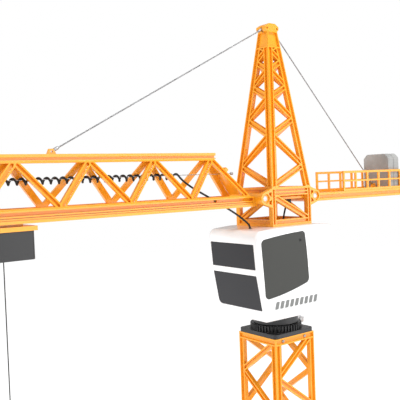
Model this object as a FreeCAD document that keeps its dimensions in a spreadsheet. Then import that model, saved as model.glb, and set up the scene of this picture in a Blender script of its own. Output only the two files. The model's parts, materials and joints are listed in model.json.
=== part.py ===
# Toy tower crane, millimetres, +Z up.
# The origin is the middle of the base's underside, on the mast's axis.
# The jib points along -X and the counter-jib along +X.
import FreeCAD, Part
import math
import os
import re
import Sketcher

Vector = FreeCAD.Vector
Rotation = FreeCAD.Rotation
Placement = FreeCAD.Placement
X_AXIS = Vector(1, 0, 0)
Y_AXIS = Vector(0, 1, 0)
Z_AXIS = Vector(0, 0, 1)

SIZES = {
    # lattice work
    "mast_width": 64, "panel_thick": 5, "leg_width": 7.5, "bar_width": 6.2, "rail_height": 8,
    "groove_depth": 2.4, "groove_lip": 1.5,
    # heights up the tower
    "mast_foot": 22, "section_height": 222, "section_count": 4, "slew_height": 25, "cab_height": 105,
    # cross base
    "hub_apothem": 52, "arm_reach": 190, "arm_width": 30, "arm_end_height": 13, "foot_height": 4,
    "foot_radius": 13, "collar_top": 60, "collar_wall": 6, "fit_gap": 0.3,
    "ballast_length": 74, "ballast_width": 48, "ballast_height": 36, "bolt_radius": 2, "bolt_head": 3.6,
    # slewing gear
    "ring_teeth": 48, "pinion_teeth": 12, "tooth_module": 1.25,
    "spindle_radius": 12, "running_gap": 0.05,
    "turntable_radius": 27,
    # driver's cab, measured from the roof
    "cab_half_width": 43.5, "cab_wall": 2.4, "cab_rear": 62, "cab_front_top": 66.5, "cab_front_middle": 62.7,
    "cab_front_foot": 52.5, "cab_bend": 50, "cab_shoulder": 2.2,
    "pane_thick": 1.1, "pane_recess": 1.2, "floor_thick": 3,
    # crane head, measured from the roof
    "head_offset": 2.5, "head_height": 44.7, "head_thick": 5.5, "crown_rail": 9.2, "deck_height": 31,
    "lug_reach": 41.3, "lug_height": 33.2, "lug_radius": 7.4,
    "pin_radius": 3, "spire_top": 231.8, "spire_half_top": 8.2, "cap_height": 9,
    "eye_reach": 8, "eye_height": 235,
    # jib, measured from the roof
    "jib_root": 46, "first_foot": 53.4, "jib_end": 592, "top_chord_start": 88, "top_chord_low": 80.2, "top_chord_high": 87.1,
    "top_chord_half": 4.2, "chord_outer": 18.2, "chord_wall": 6, "chord_low": 24.6, "chord_high": 36.3,
    "side_low": 36.3, "side_high": 80.2, "side_foot": 17.7, "side_head": 4.2, "side_thick": 4.05,
    "side_rail": 1.5, "node_pitch": 75.5, "first_node": 94.3, "far_offset": 5, "ledge_height": 3, "ledge_inner": 9.2,
    "wire_radius": 0.45, "wire_height": 63.4, "cord_radius": 1.1,
    "coil_radius": 3.9, "coil_start": 139, "coil_hang": 1.2,
    "pendant_radius": 0.75, "pendant_lug": 283,
    # counter-jib
    "counter_root": 52, "counter_length": 232, "counter_half": 24, "counter_low": 26, "counter_high": 36,
    "rail_tall": 26, "rail_start": 105,
    "weight_thick": 11.6, "weight_width": 42, "weight_height": 48,
    # trolley and hook
    "trolley_rest": 340, "wheel_radius": 4.5, "wheel_thick": 2.2, "axle_radius": 1, "axle_reach": 17,
    "drum_radius": 5, "rope_radius": 0.6, "hook_drop": 165, "sheave_radius": 6.6,
    "latch_x": 2, "latch_z": 9, "latch_pin": 0.8,
}

doc = FreeCAD.newDocument("toy_tower_crane")
sheet = doc.addObject("Spreadsheet::Sheet", "Sizes")
for row, (alias, number) in enumerate(SIZES.items(), start=1):
    sheet.set("A%d" % row, alias)
    sheet.set("B%d" % row, str(number))
    sheet.setAlias("B%d" % row, alias)
doc.recompute()

MAST_TOP = "(mast_foot + section_count * section_height)"
ROOF = "(mast_foot + section_count * section_height + slew_height + cab_height)"
nodes = []


# ---------------------------------------------------------------- helpers

def sized(text):
    """Turn 'mast_width / 2' into an expression that reads the sheet."""
    return re.sub(r"[a-z_]+", lambda word: "Sizes." + word.group() if word.group() in SIZES
                  else word.group(), str(text))


def value(text):
    return float(sheet.evalExpression(sized(text)))


def keep(thing, label):
    """Name a finished sub-part, which is written to its own file."""
    thing.Label = label
    nodes.append(thing)
    return thing


def place(thing, x="0", y="0", z="0", turn=None):
    if turn is not None:
        thing.Placement = Placement(Vector(), turn)
    for axis, text in (("x", x), ("y", y), ("z", z)):
        thing.setExpression("Placement.Base." + axis, sized(text))
    return thing


def new_body(name, x=None, y=None, z=None):
    """Body, tied to the sheet along each axis that is given."""
    body = doc.addObject("PartDesign::Body", name)
    for axis, text in (("x", x), ("y", y), ("z", z)):
        if text is not None:
            body.setExpression("Placement.Base." + axis, sized(text))
    return body


def new_sketch(body, plane, offset="0"):
    """Sketch on one of the body's own origin planes, moved along the plane's normal."""
    sketch = body.newObject("Sketcher::SketchObject", body.Name + "_sketch")
    sketch.AttachmentSupport = ([f for f in body.Origin.OriginFeatures if f.Role == plane + "_Plane"][0], [""])
    sketch.MapMode = "FlatFace"
    sketch.setExpression("AttachmentOffset.Base.z", sized(offset))
    return sketch


def fix_point(sketch, geometry, point, x, y):
    """Tie one point of a sketch to two sizes."""
    for kind, text in (("DistanceX", x), ("DistanceY", y)):
        index = sketch.addConstraint(Sketcher.Constraint(kind, -1, 1, geometry, point, value(text)))
        sketch.setExpression("Constraints[%d]" % index, sized(text))


def polygon(sketch, points):
    """Closed outline; corners given in words of the sheet are tied to it."""
    spots = [Vector(value(x), value(y), 0) for x, y in points]
    first = sketch.GeometryCount
    for index, spot in enumerate(spots):
        sketch.addGeometry(Part.LineSegment(spot, spots[(index + 1) % len(spots)]))
    for index, (x, y) in enumerate(points):
        following = first + (index + 1) % len(spots)
        sketch.addConstraint(Sketcher.Constraint("Coincident", first + index, 2, following, 1))
        if isinstance(x, str):
            fix_point(sketch, first + index, 1, x, y)


def rectangle(sketch, low_x, low_y, high_x, high_y):
    polygon(sketch, [(low_x, low_y), (high_x, low_y), (high_x, high_y), (low_x, high_y)])


def circle(sketch, x, y, radius):
    index = sketch.addGeometry(Part.Circle(Vector(value(x), value(y), 0), Z_AXIS, value(radius)))
    number = sketch.addConstraint(Sketcher.Constraint("Radius", index, value(radius)))
    sketch.setExpression("Constraints[%d]" % number, sized(radius))
    fix_point(sketch, index, 3, x, y)


def rounded(sketch, points, radius):
    """Closed outline whose corners are arcs, of one radius or one for each corner."""
    spots = [Vector(x, y, 0) for x, y in points]
    radii = radius if isinstance(radius, list) else [radius] * len(spots)
    ends = []
    for index, spot in enumerate(spots):
        before = (spots[index - 1] - spot).normalize()
        after = (spots[(index + 1) % len(spots)] - spot).normalize()
        half = before.getAngle(after) / 2
        back = radii[index] / math.tan(half)
        middle = spot + (before + after).normalize() * (radii[index] / math.sin(half) - radii[index])
        ends.append((spot + before * back, middle, spot + after * back))
    for index, (start, middle, end) in enumerate(ends):
        sketch.addGeometry(Part.Arc(start, middle, end))
        sketch.addGeometry(Part.LineSegment(end, ends[(index + 1) % len(ends)][0]))


def pad(body, sketch, length, reverse=False, both=False, direction=None):
    feature = body.newObject("PartDesign::Pad", body.Name + "_pad")
    feature.Profile = sketch
    feature.Reversed = reverse
    feature.Midplane = both
    feature.setExpression("Length", sized(length))
    if direction is not None:
        feature.UseCustomVector = True
        feature.Direction = direction
        feature.AlongSketchNormal = True
    doc.recompute()
    return feature


def pocket(body, sketch, depth, reverse=False, both=False):
    """Cut a sketch into the body; a cut that removes nothing is an error."""
    before = body.Shape.Volume
    feature = body.newObject("PartDesign::Pocket", body.Name + "_pocket")
    feature.Profile = sketch
    feature.Reversed = reverse
    feature.Midplane = both
    feature.setExpression("Length", sized(depth))
    doc.recompute()
    if body.Shape.Volume > before - 1e-3:
        raise RuntimeError("pocket cuts nothing: " + feature.Name)
    return feature


def block(name, low, high):
    """Box from its lowest to its highest corner, in words of the sheet."""
    box = doc.addObject("Part::Box", name)
    for prop, axis in (("Length", 0), ("Width", 1), ("Height", 2)):
        box.setExpression(prop, sized("(%s) - (%s)" % (high[axis], low[axis])))
    return place(box, *low)


def rod(name, radius, length, x="0", y="0", z="0", along=Z_AXIS):
    """Round bar that starts at x, y, z and runs along one direction."""
    bar = doc.addObject("Part::Cylinder", name)
    bar.setExpression("Radius", sized(radius))
    bar.setExpression("Height", sized(length))
    return place(bar, x, y, z, Rotation(Z_AXIS, along))


def fuse(name, shapes):
    joined = doc.addObject("Part::MultiFuse", name)
    joined.Shapes = shapes
    return joined


def cut(name, base, tool):
    made = doc.addObject("Part::Cut", name)
    made.Base = base
    made.Tool = tool
    return made


def group(label, things):
    """Several separate solids that share one node."""
    made = doc.addObject("Part::Compound", label)
    made.Links = things
    return keep(made, label)


def copy_at(source, placement):
    link = doc.addObject("App::Link", source.Name + "_copy")
    link.LinkedObject = source
    link.Placement = placement
    return link


def around(source, count, start=0):
    """Copies turned about the mast's axis."""
    doc.recompute()
    copies = []
    for index in range(count):
        turn = Rotation(Z_AXIS, start + 360 * index / count)
        copies.append(copy_at(source, Placement(Vector(), turn) * source.Placement))
    return copies


# ---------------------------------------------------------------- lattice outlines

def clip(points, spot, normal):
    """Part of a convex outline on the side of a line that the normal points to."""
    kept = []
    for index, here in enumerate(points):
        there = points[(index + 1) % len(points)]
        side_here = (here[0] - spot[0]) * normal[0] + (here[1] - spot[1]) * normal[1]
        side_there = (there[0] - spot[0]) * normal[0] + (there[1] - spot[1]) * normal[1]
        if side_here >= 0:
            kept.append(here)
        if side_here * side_there < 0:
            share = side_here / (side_here - side_there)
            kept.append((here[0] + share * (there[0] - here[0]), here[1] + share * (there[1] - here[1])))
    return kept


def area(points):
    return abs(sum(a[0] * b[1] - b[0] * a[1] for a, b in zip(points, points[1:] + points[:1]))) / 2


def strip_sides(start, end, width):
    """Two points on a bar's edges and the direction across the bar."""
    length = math.hypot(end[0] - start[0], end[1] - start[1])
    across = ((end[1] - start[1]) / length, (start[0] - end[0]) / length)
    high = (start[0] + across[0] * width / 2, start[1] + across[1] * width / 2)
    low = (start[0] - across[0] * width / 2, start[1] - across[1] * width / 2)
    return high, low, across


def zigzag_openings(window, bars, width):
    """Openings that a zigzag of bars leaves in a convex window, from the first side to the last."""
    openings = []
    edges = [strip_sides(start, end, width) for start, end in bars]
    for index in range(len(bars) + 1):
        outline = window
        if index > 0:
            high, low, across = edges[index - 1]
            outline = clip(outline, *((high, across) if across[1] > 0 or (across[1] == 0 and across[0] > 0)
                                      else (low, (-across[0], -across[1]))))
        if index < len(bars):
            high, low, across = edges[index]
            outline = clip(outline, *((low, (-across[0], -across[1]))
                                      if across[1] > 0 or (across[1] == 0 and across[0] > 0)
                                      else (high, across)))
        if len(outline) > 2 and area(outline) > 12:
            openings.append(outline)
    return openings


def bar_grooves(window, bars, width, axis=1):
    """Recess along the middle of each bar, kept clear of the next bar at its ends."""
    recesses = []
    for start, end in bars:
        high, low, across = strip_sides(start, end, width)
        outline = clip(clip(window, high, (-across[0], -across[1])), low, across)
        bottom, top = sorted((start, end), key=lambda spot: spot[axis])
        up = (0, 1) if axis == 1 else (1, 0)
        down = (0, -1) if axis == 1 else (-1, 0)
        outline = clip(clip(outline, (bottom[0] + up[0], bottom[1] + up[1]), up),
                       (top[0] + down[0], top[1] + down[1]), down)
        if len(outline) > 2 and area(outline) > 6:
            recesses.append(outline)
    return recesses


def numbers(points):
    return [(round(x, 4), round(y, 4)) for x, y in points]


def draw_all(sketch, outlines):
    for outline in outlines:
        polygon(sketch, numbers(outline))


# ---------------------------------------------------------------- cross base

def build_base():
    turns = [math.radians(22.5 + 45 * n) for n in range(8)]
    octagon = [(math.cos(turn), math.sin(turn)) for turn in turns]
    ring = "hub_apothem / %.6f" % math.cos(math.radians(22.5))
    hub = new_body("base_hub")
    plate = new_sketch(hub, "XY")
    polygon(plate, [("%s * %.6f" % (ring, x), "%s * %.6f" % (ring, y)) for x, y in octagon])
    pad(hub, plate, "mast_foot")
    collar = new_sketch(hub, "XY", "mast_foot")
    outer = "(mast_width / 2 + collar_wall)"
    inner = "(mast_width / 2 + fit_gap)"
    rectangle(collar, "-" + outer, "-" + outer, outer, outer)
    rectangle(collar, "-" + inner, "-" + inner, inner, inner)
    pad(hub, collar, "collar_top - mast_foot")
    holes = new_sketch(hub, "XY", "mast_foot")
    for index in range(4):
        angle = math.radians(45 + 90 * index)
        for side in (-1, 1):
            x = 48 * math.cos(angle) - side * 12 * math.sin(angle)
            y = 48 * math.sin(angle) + side * 12 * math.cos(angle)
            circle(holes, "%.4f" % x, "%.4f" % y, "bolt_radius + running_gap")
    pocket(hub, holes, "10")
    keep(hub, "base_hub")

    bolt = fuse("arm_bolt", [
        rod("arm_bolt_shank", "bolt_radius", "9", "48", "12", "mast_foot - 9"),
        rod("arm_bolt_head", "bolt_head", "2.6", "48", "12", "mast_foot")])
    other = fuse("arm_bolt_other", [
        rod("arm_bolt_shank_b", "bolt_radius", "9", "48", "-12", "mast_foot - 9"),
        rod("arm_bolt_head_b", "bolt_head", "2.6", "48", "-12", "mast_foot")])
    group("arm_bolts", around(bolt, 4, 45) + around(other, 4, 45))

    arm = new_body("base_arm")
    side = new_sketch(arm, "XZ")
    polygon(side, [("hub_apothem", "foot_height"), ("arm_reach", "foot_height"),
                   ("arm_reach", "arm_end_height"), ("arm_reach - 42", "mast_foot"),
                   ("hub_apothem", "mast_foot")])
    pad(arm, side, "arm_width", both=True)
    for offset, reverse in (("arm_width / 2", False), ("-arm_width / 2", True)):
        groove = new_sketch(arm, "XZ", offset)
        polygon(groove, [("hub_apothem + 4", "foot_height + 3"), ("arm_reach - 5", "foot_height + 3"),
                         ("arm_reach - 5", "arm_end_height - 2"), ("arm_reach - 43", "mast_foot - 3.5"),
                         ("hub_apothem + 4", "mast_foot - 3.5")])
        pocket(arm, groove, "3", reverse=reverse)
    group("base_arms", around(arm, 4, 45))

    foot = rod("foot", "foot_radius", "foot_height", "arm_reach - foot_radius - 1")
    group("foot_pads", around(foot, 4, 45))

    weight = new_body("ballast_block")
    end = new_sketch(weight, "XZ")
    start = "(hub_apothem + 8)"
    stop = "(hub_apothem + 8 + ballast_length)"
    high = "(mast_foot + ballast_height)"
    polygon(end, [(start, "mast_foot"), (stop, "mast_foot"), (stop, high + " - 6"), (stop + " - 6", high),
                  (start + " + 6", high), (start, high + " - 6")])
    pad(weight, end, "ballast_width", both=True)
    group("ballast_blocks", around(weight, 4, 45))


# ---------------------------------------------------------------- mast

def tapered_panel(name, half_low, half_high, height, nodes_up, thick, rail, window_top, lean):
    """Flat lattice panel on the plane Y = 0, its inside towards +Y, leaning back by an angle."""
    leg = value("leg_width")
    lip = value("groove_lip")
    bar = value("bar_width")
    body = new_body(name)
    rate = (half_low - half_high) / height

    def half(at):
        return half_low - rate * at

    outline = [(-half_low, 0), (half_low, 0), (half_high, height), (-half_high, height)]
    window = [(-(half(rail) - leg), rail), (half(rail) - leg, rail),
              (half(window_top) - leg, window_top), (-(half(window_top) - leg), window_top)]
    bars = []
    for (side_a, at_a), (side_b, at_b) in zip(nodes_up, nodes_up[1:]):
        bars.append(((side_a * (half(at_a) - leg / 2), at_a), (side_b * (half(at_b) - leg / 2), at_b)))
    face = new_sketch(body, "XZ")
    polygon(face, numbers(outline))
    draw_all(face, zigzag_openings(window, bars, bar))
    lean_angle = math.radians(lean)
    direction = Vector(0, math.cos(lean_angle), math.sin(lean_angle)) if lean else None
    if direction is None:
        pad(body, face, thick, reverse=True)
    else:
        pad(body, face, thick, direction=direction)
    recess = new_sketch(body, "XZ")
    draw_all(recess, bar_grooves(window, bars, bar - 2 * lip))
    for side in (-1, 1):
        strip = ((rail + 1, lip), (rail + 1, leg - lip), (window_top, leg - lip), (window_top, lip))
        draw_all(recess, [[(side * (half(at) - inset), at) for at, inset in strip]])
    if rail > 3 * lip:
        draw_all(recess, [[(-half(lip) + lip, lip), (half(lip) - lip, lip),
                           (half(rail - lip) - lip, rail - lip), (-half(rail - lip) + lip, rail - lip)]])
    if window_top < height - rail / 2:
        draw_all(recess, [[(-half(window_top + lip) + lip, window_top + lip),
                           (half(window_top + lip) - lip, window_top + lip),
                           (half(height - lip) - lip, height - lip),
                           (-half(height - lip) + lip, height - lip)]])
    pocket(body, recess, "groove_depth")
    return body


def mitre(body, size):
    """Bevel the two long inside edges so that four panels close round a square."""
    solid = body.Tip
    feature = body.newObject("PartDesign::Chamfer", body.Name + "_mitre")
    shape = solid.Shape
    inside = []
    for index, edge in enumerate(shape.Edges, start=1):
        box = edge.BoundBox
        along = box.ZLength > 0.9 * shape.BoundBox.ZLength
        if along and box.YMax > shape.BoundBox.YMax - 2.2 and edge.CenterOfMass.y > 0.8 * value(size):
            inside.append((index, abs(edge.CenterOfMass.x)))
    widest = max(x for index, x in inside)
    picked = ["Edge%d" % index for index, x in inside if x > widest - 0.5]
    feature.Base = (solid, picked)
    body.Tip = feature
    feature.setExpression("Size", sized(size))
    doc.recompute()
    return feature


def build_mast():
    height = value("section_height")
    half = value("mast_width / 2")
    rail = value("rail_height")
    low = rail / 2
    high = height - rail / 2
    bays = 5
    step = (high - low) / bays
    climb = [(-1 if bay % 2 == 0 else 1, low + bay * step) for bay in range(bays + 1)]
    face_half = half - 0.03
    panel = tapered_panel("mast_panel", face_half, face_half, height, climb, "panel_thick", rail,
                          height - rail, 0)
    mitre(panel, "panel_thick - 0.02")
    for level in range(int(value("section_count"))):
        base = value("mast_foot + %d * section_height" % level)
        sides = []
        for turn in range(4):
            spin = Placement(Vector(0, 0, base), Rotation(Z_AXIS, 90 * turn))
            sides.append(copy_at(panel, spin * Placement(Vector(0, -half, 0), Rotation())))
        group("mast_section_%d" % (level + 1), sides)

    screws = []
    stud = rod("mast_screw", "bolt_radius", "2.2", "0", "0", "0", Vector(0, -1, 0))
    for level in range(1, int(value("section_count")) + 1):
        for lift in (-4, 4):
            if level == int(value("section_count")) and lift > 0:
                continue
            at = value("mast_foot + %d * section_height" % level) + lift
            for turn in (0, 180):
                spin = Placement(Vector(0, 0, at), Rotation(Z_AXIS, turn))
                for side in (-1, 1):
                    screws.append(copy_at(stud, spin * Placement(
                        Vector(side * (half - 14), value("groove_depth") - half, 0), Rotation(X_AXIS, 90))))
    group("mast_screws", screws)


# ---------------------------------------------------------------- slewing gear

def gear_outline(teeth, module, turn):
    """Straight-sided teeth: root, flank, tip and flank round a circle."""
    pitch = module * teeth / 2
    outer = pitch + 0.85 * module
    root = pitch - 1.15 * module
    step = 2 * math.pi / teeth
    spots = []
    for tooth in range(teeth):
        centre = turn + tooth * step
        for radius, share in ((root, -0.29), (outer, -0.12), (outer, 0.12), (root, 0.29)):
            angle = centre + share * step
            spots.append((radius * math.cos(angle), radius * math.sin(angle)))
    return spots


def build_slew():
    plate = new_body("slew_base", z=MAST_TOP)
    square = new_sketch(plate, "XY")
    half = value("mast_width / 2")
    rounded(square, [(-half, -half), (half, -half), (half, half), (-half, half)], 5)
    pad(plate, square, "5")
    spindle = new_sketch(plate, "XY", "5")
    circle(spindle, "0", "0", "spindle_radius - running_gap")
    pad(plate, spindle, "slew_height - 7")
    keep(plate, "slew_base")

    ring = new_body("slew_ring", z=MAST_TOP + " + 5")
    teeth = new_sketch(ring, "XY")
    polygon(teeth, numbers(gear_outline(int(value("ring_teeth")), value("tooth_module"), 0)))
    circle(teeth, "0", "0", "spindle_radius + 6")
    pad(ring, teeth, "7")
    keep(ring, "slew_ring")

    pinion = new_body("slew_pinion", x="tooth_module * (ring_teeth + pinion_teeth) / 2", z=MAST_TOP + " + 5.5")
    teeth = new_sketch(pinion, "XY")
    count = int(value("pinion_teeth"))
    polygon(teeth, numbers(gear_outline(count, value("tooth_module"), math.pi / count)))
    pad(pinion, teeth, "6")
    shaft = new_sketch(pinion, "XY", "6")
    circle(shaft, "0", "0", "2")
    pad(pinion, shaft, "24")
    keep(pinion, "slew_pinion")

    table = new_body("turntable", z=MAST_TOP + " + 12.6")
    disc = new_sketch(table, "XY")
    circle(disc, "0", "0", "turntable_radius")
    circle(disc, "0", "0", "spindle_radius")
    pad(table, disc, "slew_height - 12.6")
    keep(table, "turntable")


# ---------------------------------------------------------------- driver's cab

def cab_profile(inset):
    """Side outline of the cab, drawn in from the outside by a wall's thickness."""
    foot = -value("cab_height") - inset
    front_top = -value("cab_front_top") + inset
    front_middle = -value("cab_front_middle") + inset
    front_foot = -value("cab_front_foot") + inset
    rear = value("cab_rear") - inset
    shoulder = -value("cab_shoulder") - inset
    return [(front_foot, foot), (rear, foot), (rear, shoulder), (34, -inset), (-34, -inset),
            (front_top, shoulder), (front_middle, -value("cab_bend"))]


def cab_corners(inset):
    return [0.6, 0.6, 9 - inset, 60, 60, 9 - inset, 30]


def front_placement(middle_height):
    """Placement of a sheet on the upper or the lower stretch of the front, its outside towards -X."""
    bend = (-value("cab_front_middle"), -value("cab_bend"))
    if middle_height > bend[1]:
        high, low = (-value("cab_front_top"), -value("cab_shoulder")), bend
    else:
        high, low = bend, (-value("cab_front_foot"), -value("cab_height"))
    lean = math.atan2(low[0] - high[0], high[1] - low[1])
    x = low[0] - (middle_height - low[1]) * math.tan(lean)
    turn = Rotation(Y_AXIS, -math.degrees(lean)) * Rotation(Z_AXIS, -90)
    return Placement(Vector(x, 0, value(ROOF) + middle_height), turn)


def sheet_piece(name, points, radius, thick, placement):
    """Thin plate on its own XZ plane, its outside at Y = 0 and its thickness towards +Y."""
    body = new_body(name)
    face = new_sketch(body, "XZ")
    rounded(face, points, radius)
    pad(body, face, thick, reverse=True)
    body.Placement = placement
    return body


def oblong(width, height):
    x, y = width / 2, height / 2
    return [(-x, -y), (x, -y), (x, y), (-x, y)]


def grown(points, amount):
    """Outline pushed out from its middle by about one amount."""
    mid_x = sum(x for x, y in points) / len(points)
    mid_y = sum(y for x, y in points) / len(points)
    return [(x + math.copysign(amount, x - mid_x), y + math.copysign(amount, y - mid_y)) for x, y in points]


def build_cab():
    lift = value(ROOF)
    block_body = new_body("cab_block", z=ROOF)
    outside = new_sketch(block_body, "XZ")
    rounded(outside, cab_profile(0), cab_corners(0))
    pad(block_body, outside, "2 * cab_half_width", both=True)
    edges = []
    for index, edge in enumerate(block_body.Shape.Edges, start=1):
        if edge.BoundBox.YLength < 0.01 and edge.CenterOfMass.z > lift - value("cab_height") + 1:
            edges.append("Edge%d" % index)
    solid = block_body.Tip
    soften = block_body.newObject("PartDesign::Fillet", "cab_rounding")
    soften.Base = (solid, edges)
    soften.Radius = 4
    block_body.Tip = soften
    doc.recompute()
    inside = new_sketch(block_body, "XZ")
    rounded(inside, cab_profile(value("cab_wall")), cab_corners(value("cab_wall")))
    pocket(block_body, inside, "2 * (cab_half_width - cab_wall)", both=True)

    recess = value("pane_recess")
    side_points = [(-54.9, -79.2), (-19.5, -75.4), (15.0, -66.0), (13.4, -36.5), (9.6, -6.3), (-25.2, -8.0),
                   (-59.9, -12.2)]
    side_radii = [5.5, 330, 6, 540, 5, 650, 5.5]
    half = value("cab_half_width")
    near = Placement(Vector(0, -half, lift), Rotation())
    far = Placement(Vector(0, half, lift), Rotation(Z_AXIS, 180))
    far_points = [(-x, y) for x, y in reversed(side_points)]
    upper = oblong(75.5, 28.4)
    lower = oblong(75.5, 40.8)
    cover = oblong(66, 62)
    rear = Placement(Vector(value("cab_rear"), 0, lift - 48), Rotation(Z_AXIS, 90))
    panes = [
        ("front_window_upper", upper, 0.8, front_placement(-31.1), 1.5),
        ("front_window_lower", lower, [6, 0.8, 0.8, 0.8], front_placement(-72.4), 1.5),
        ("side_window_left", side_points, side_radii, near, 0),
        ("side_window_right", far_points, side_radii[::-1], far, 0),
        ("rear_cover", cover, 3.0, rear, 0),
    ]
    tools = []
    side_panes = []
    for name, points, radius, spot, aside in panes:
        if aside:
            spot = spot * Placement(Vector(-aside, 0, 0), Rotation())
        sunk = spot * Placement(Vector(0, recess - value("pane_thick"), 0), Rotation())
        pane = sheet_piece(name, points, radius, "pane_thick", sunk)
        if name.startswith("side"):
            side_panes.append(pane)
        else:
            keep(pane, name)
        tools.append(sheet_piece(name + "_recess", grown(points, 0.25), radius, "pane_recess + 4",
                                 spot * Placement(Vector(0, -4, 0), Rotation())))
    group("side_windows", side_panes)
    tools.append(block("switch_slot", ("cab_rear - 3", "-5.5", ROOF + " - 95"),
                       ("cab_rear + 1", "5.5", ROOF + " - 89")))
    tools.append(rod("cord_hole", "cord_radius + 1.4", "8", "-46", "-11.3", ROOF + " - 6"))
    tools.append(rod("feeder_hole", "cord_radius + 0.6", "8", "18.1", "0", ROOF + " - 6"))
    keep(cut("cab_shell", block_body, fuse("cab_recesses", tools)), "cab_shell")

    floor = new_body("cab_floor", z=ROOF + " - cab_height")
    plate = new_sketch(floor, "XY")
    rectangle(plate, "-cab_front_foot + cab_wall + 0.4", "-cab_half_width + cab_wall + 0.2",
              "cab_rear - cab_wall - 0.2", "cab_half_width - cab_wall - 0.2")
    circle(plate, "tooth_module * (ring_teeth + pinion_teeth) / 2", "0", "2.6")
    pad(floor, plate, "floor_thick")
    keep(floor, "cab_floor")

    screw = fuse("cover_screw", [
        rod("cover_screw_head", "2.6", "1.2", "0", "0", "0", X_AXIS),
        rod("cover_screw_dot", "1.2", "1.6", "0", "0", "0", X_AXIS)])
    outer = value("cab_rear") - (recess - value("pane_thick"))
    spots = [Placement(Vector(outer, side * 26, lift - 24), Rotation()) for side in (-1, 1)]
    side_screws = [Placement(Vector(2.1, turn * (half - (recess - value("pane_thick"))), lift - 16.7),
                             Rotation(Z_AXIS, 90 * turn)) for turn in (-1, 1)]
    group("cover_screws", [copy_at(screw, spot) for spot in spots + side_screws])

    slider = fuse("slider_parts", [
        block("slider_foot", ("cab_rear - 2.6", "-4.8", ROOF + " - 94.6"),
              ("cab_rear - 1.2", "1", ROOF + " - 89.4")),
        block("slider_knob", ("cab_rear - 1.2", "-3.4", ROOF + " - 93.4"),
              ("cab_rear + 1.8", "-0.4", ROOF + " - 90.6"))])
    keep(slider, "power_switch")


def build_cab_inside():
    low = ROOF + " - cab_height + floor_thick"
    motor_x = "tooth_module * (ring_teeth + pinion_teeth) / 2"
    case = fuse("slew_motor_case", [
        block("slew_gearbox", (motor_x + " - 12", "-11", low), (motor_x + " + 12", "11", low + " + 20")),
        rod("slew_can", "9.5", "24", motor_x, "0", low + " + 20")])
    bore = rod("slew_motor_bore", "2 + running_gap", "12", motor_x, "0", low)
    keep(cut("slew_motor", case, bore), "slew_motor")

    tray = cut("tray_cut",
               block("tray_block", ("29.5", "-29", ROOF + " - 53"),
                     ("cab_rear - cab_wall - 0.4", "29", ROOF + " - 15")),
               block("tray_space", ("31", "-27", ROOF + " - 51.4"), ("cab_rear", "27", ROOF + " - 16.6")))
    cells = [tray]
    for x in ("38.08", "52.12"):
        for z in (ROOF + " - 41.8", ROOF + " - 26.6"):
            cells.append(rod("battery", "7", "50", x, "-25", z, Y_AXIS))
    group("battery_pack", cells)

    board = fuse("board_parts", [
        block("board_plate", ("-46", "-28", low + " + 4"), ("14", "28", low + " + 5.6")),
        block("board_chip", ("-26", "-8", low + " + 5.6"), ("-10", "8", low + " + 7.6")),
        block("board_plug", ("-2", "-20", low + " + 5.6"), ("8", "-6", low + " + 13")),
        rod("board_post_a", "2.4", "4", "-42", "-24", low),
        rod("board_post_b", "2.4", "4", "-42", "24", low),
        rod("board_post_c", "2.4", "4", "10", "-24", low),
        rod("board_post_d", "2.4", "4", "10", "24", low)])
    keep(board, "circuit_board")


# ---------------------------------------------------------------- crane head

def tangent_spot(corner, centre, radius):
    """Where the line from a corner touches a circle, on the side away from the circle's own level."""
    away = 1 if corner[1] > centre[1] else -1
    reach = math.hypot(centre[0] - corner[0], centre[1] - corner[1])
    towards = math.atan2(centre[1] - corner[1], centre[0] - corner[0])
    heading = towards + away * math.asin(radius / reach)
    run = math.sqrt(reach ** 2 - radius ** 2)
    return corner[0] + run * math.cos(heading), corner[1] + run * math.sin(heading)


def head_outline(face):
    """Side of the crane head with a lug that narrows to a round nose at either end."""
    half = value("mast_width / 2")
    tall = value("head_height")
    lug = (value("lug_reach"), value("lug_height"))
    radius = value("lug_radius")
    low_corner = (half, lug[1] - 10.9)
    high_corner = (half, tall)
    low = tangent_spot(low_corner, lug, radius)
    high = tangent_spot(high_corner, lug, radius)
    nose = (lug[0] + radius, lug[1])
    for turn in (-1, 1):
        spots = [Vector(turn * x, y, 0) for x, y in ((half, 0), low_corner, low, nose, high, high_corner)]
        face.addGeometry(Part.LineSegment(spots[0], spots[1]))
        face.addGeometry(Part.LineSegment(spots[1], spots[2]))
        face.addGeometry(Part.Arc(spots[2], spots[3], spots[4]))
        face.addGeometry(Part.LineSegment(spots[4], spots[5]))
    for level in (0, tall):
        face.addGeometry(Part.LineSegment(Vector(-half, level, 0), Vector(half, level, 0)))


def band_grooves(reach, rail, tall, crown, lip):
    """Recesses of the rail along the foot and of the two-strip band along the top."""
    middle = tall - crown / 2
    levels = ((3, rail - lip), (tall - crown + lip, middle - lip / 2), (middle + lip / 2, tall - lip))
    return [[(-reach, low), (reach, low), (reach, high), (-reach, high)] for low, high in levels]


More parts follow.
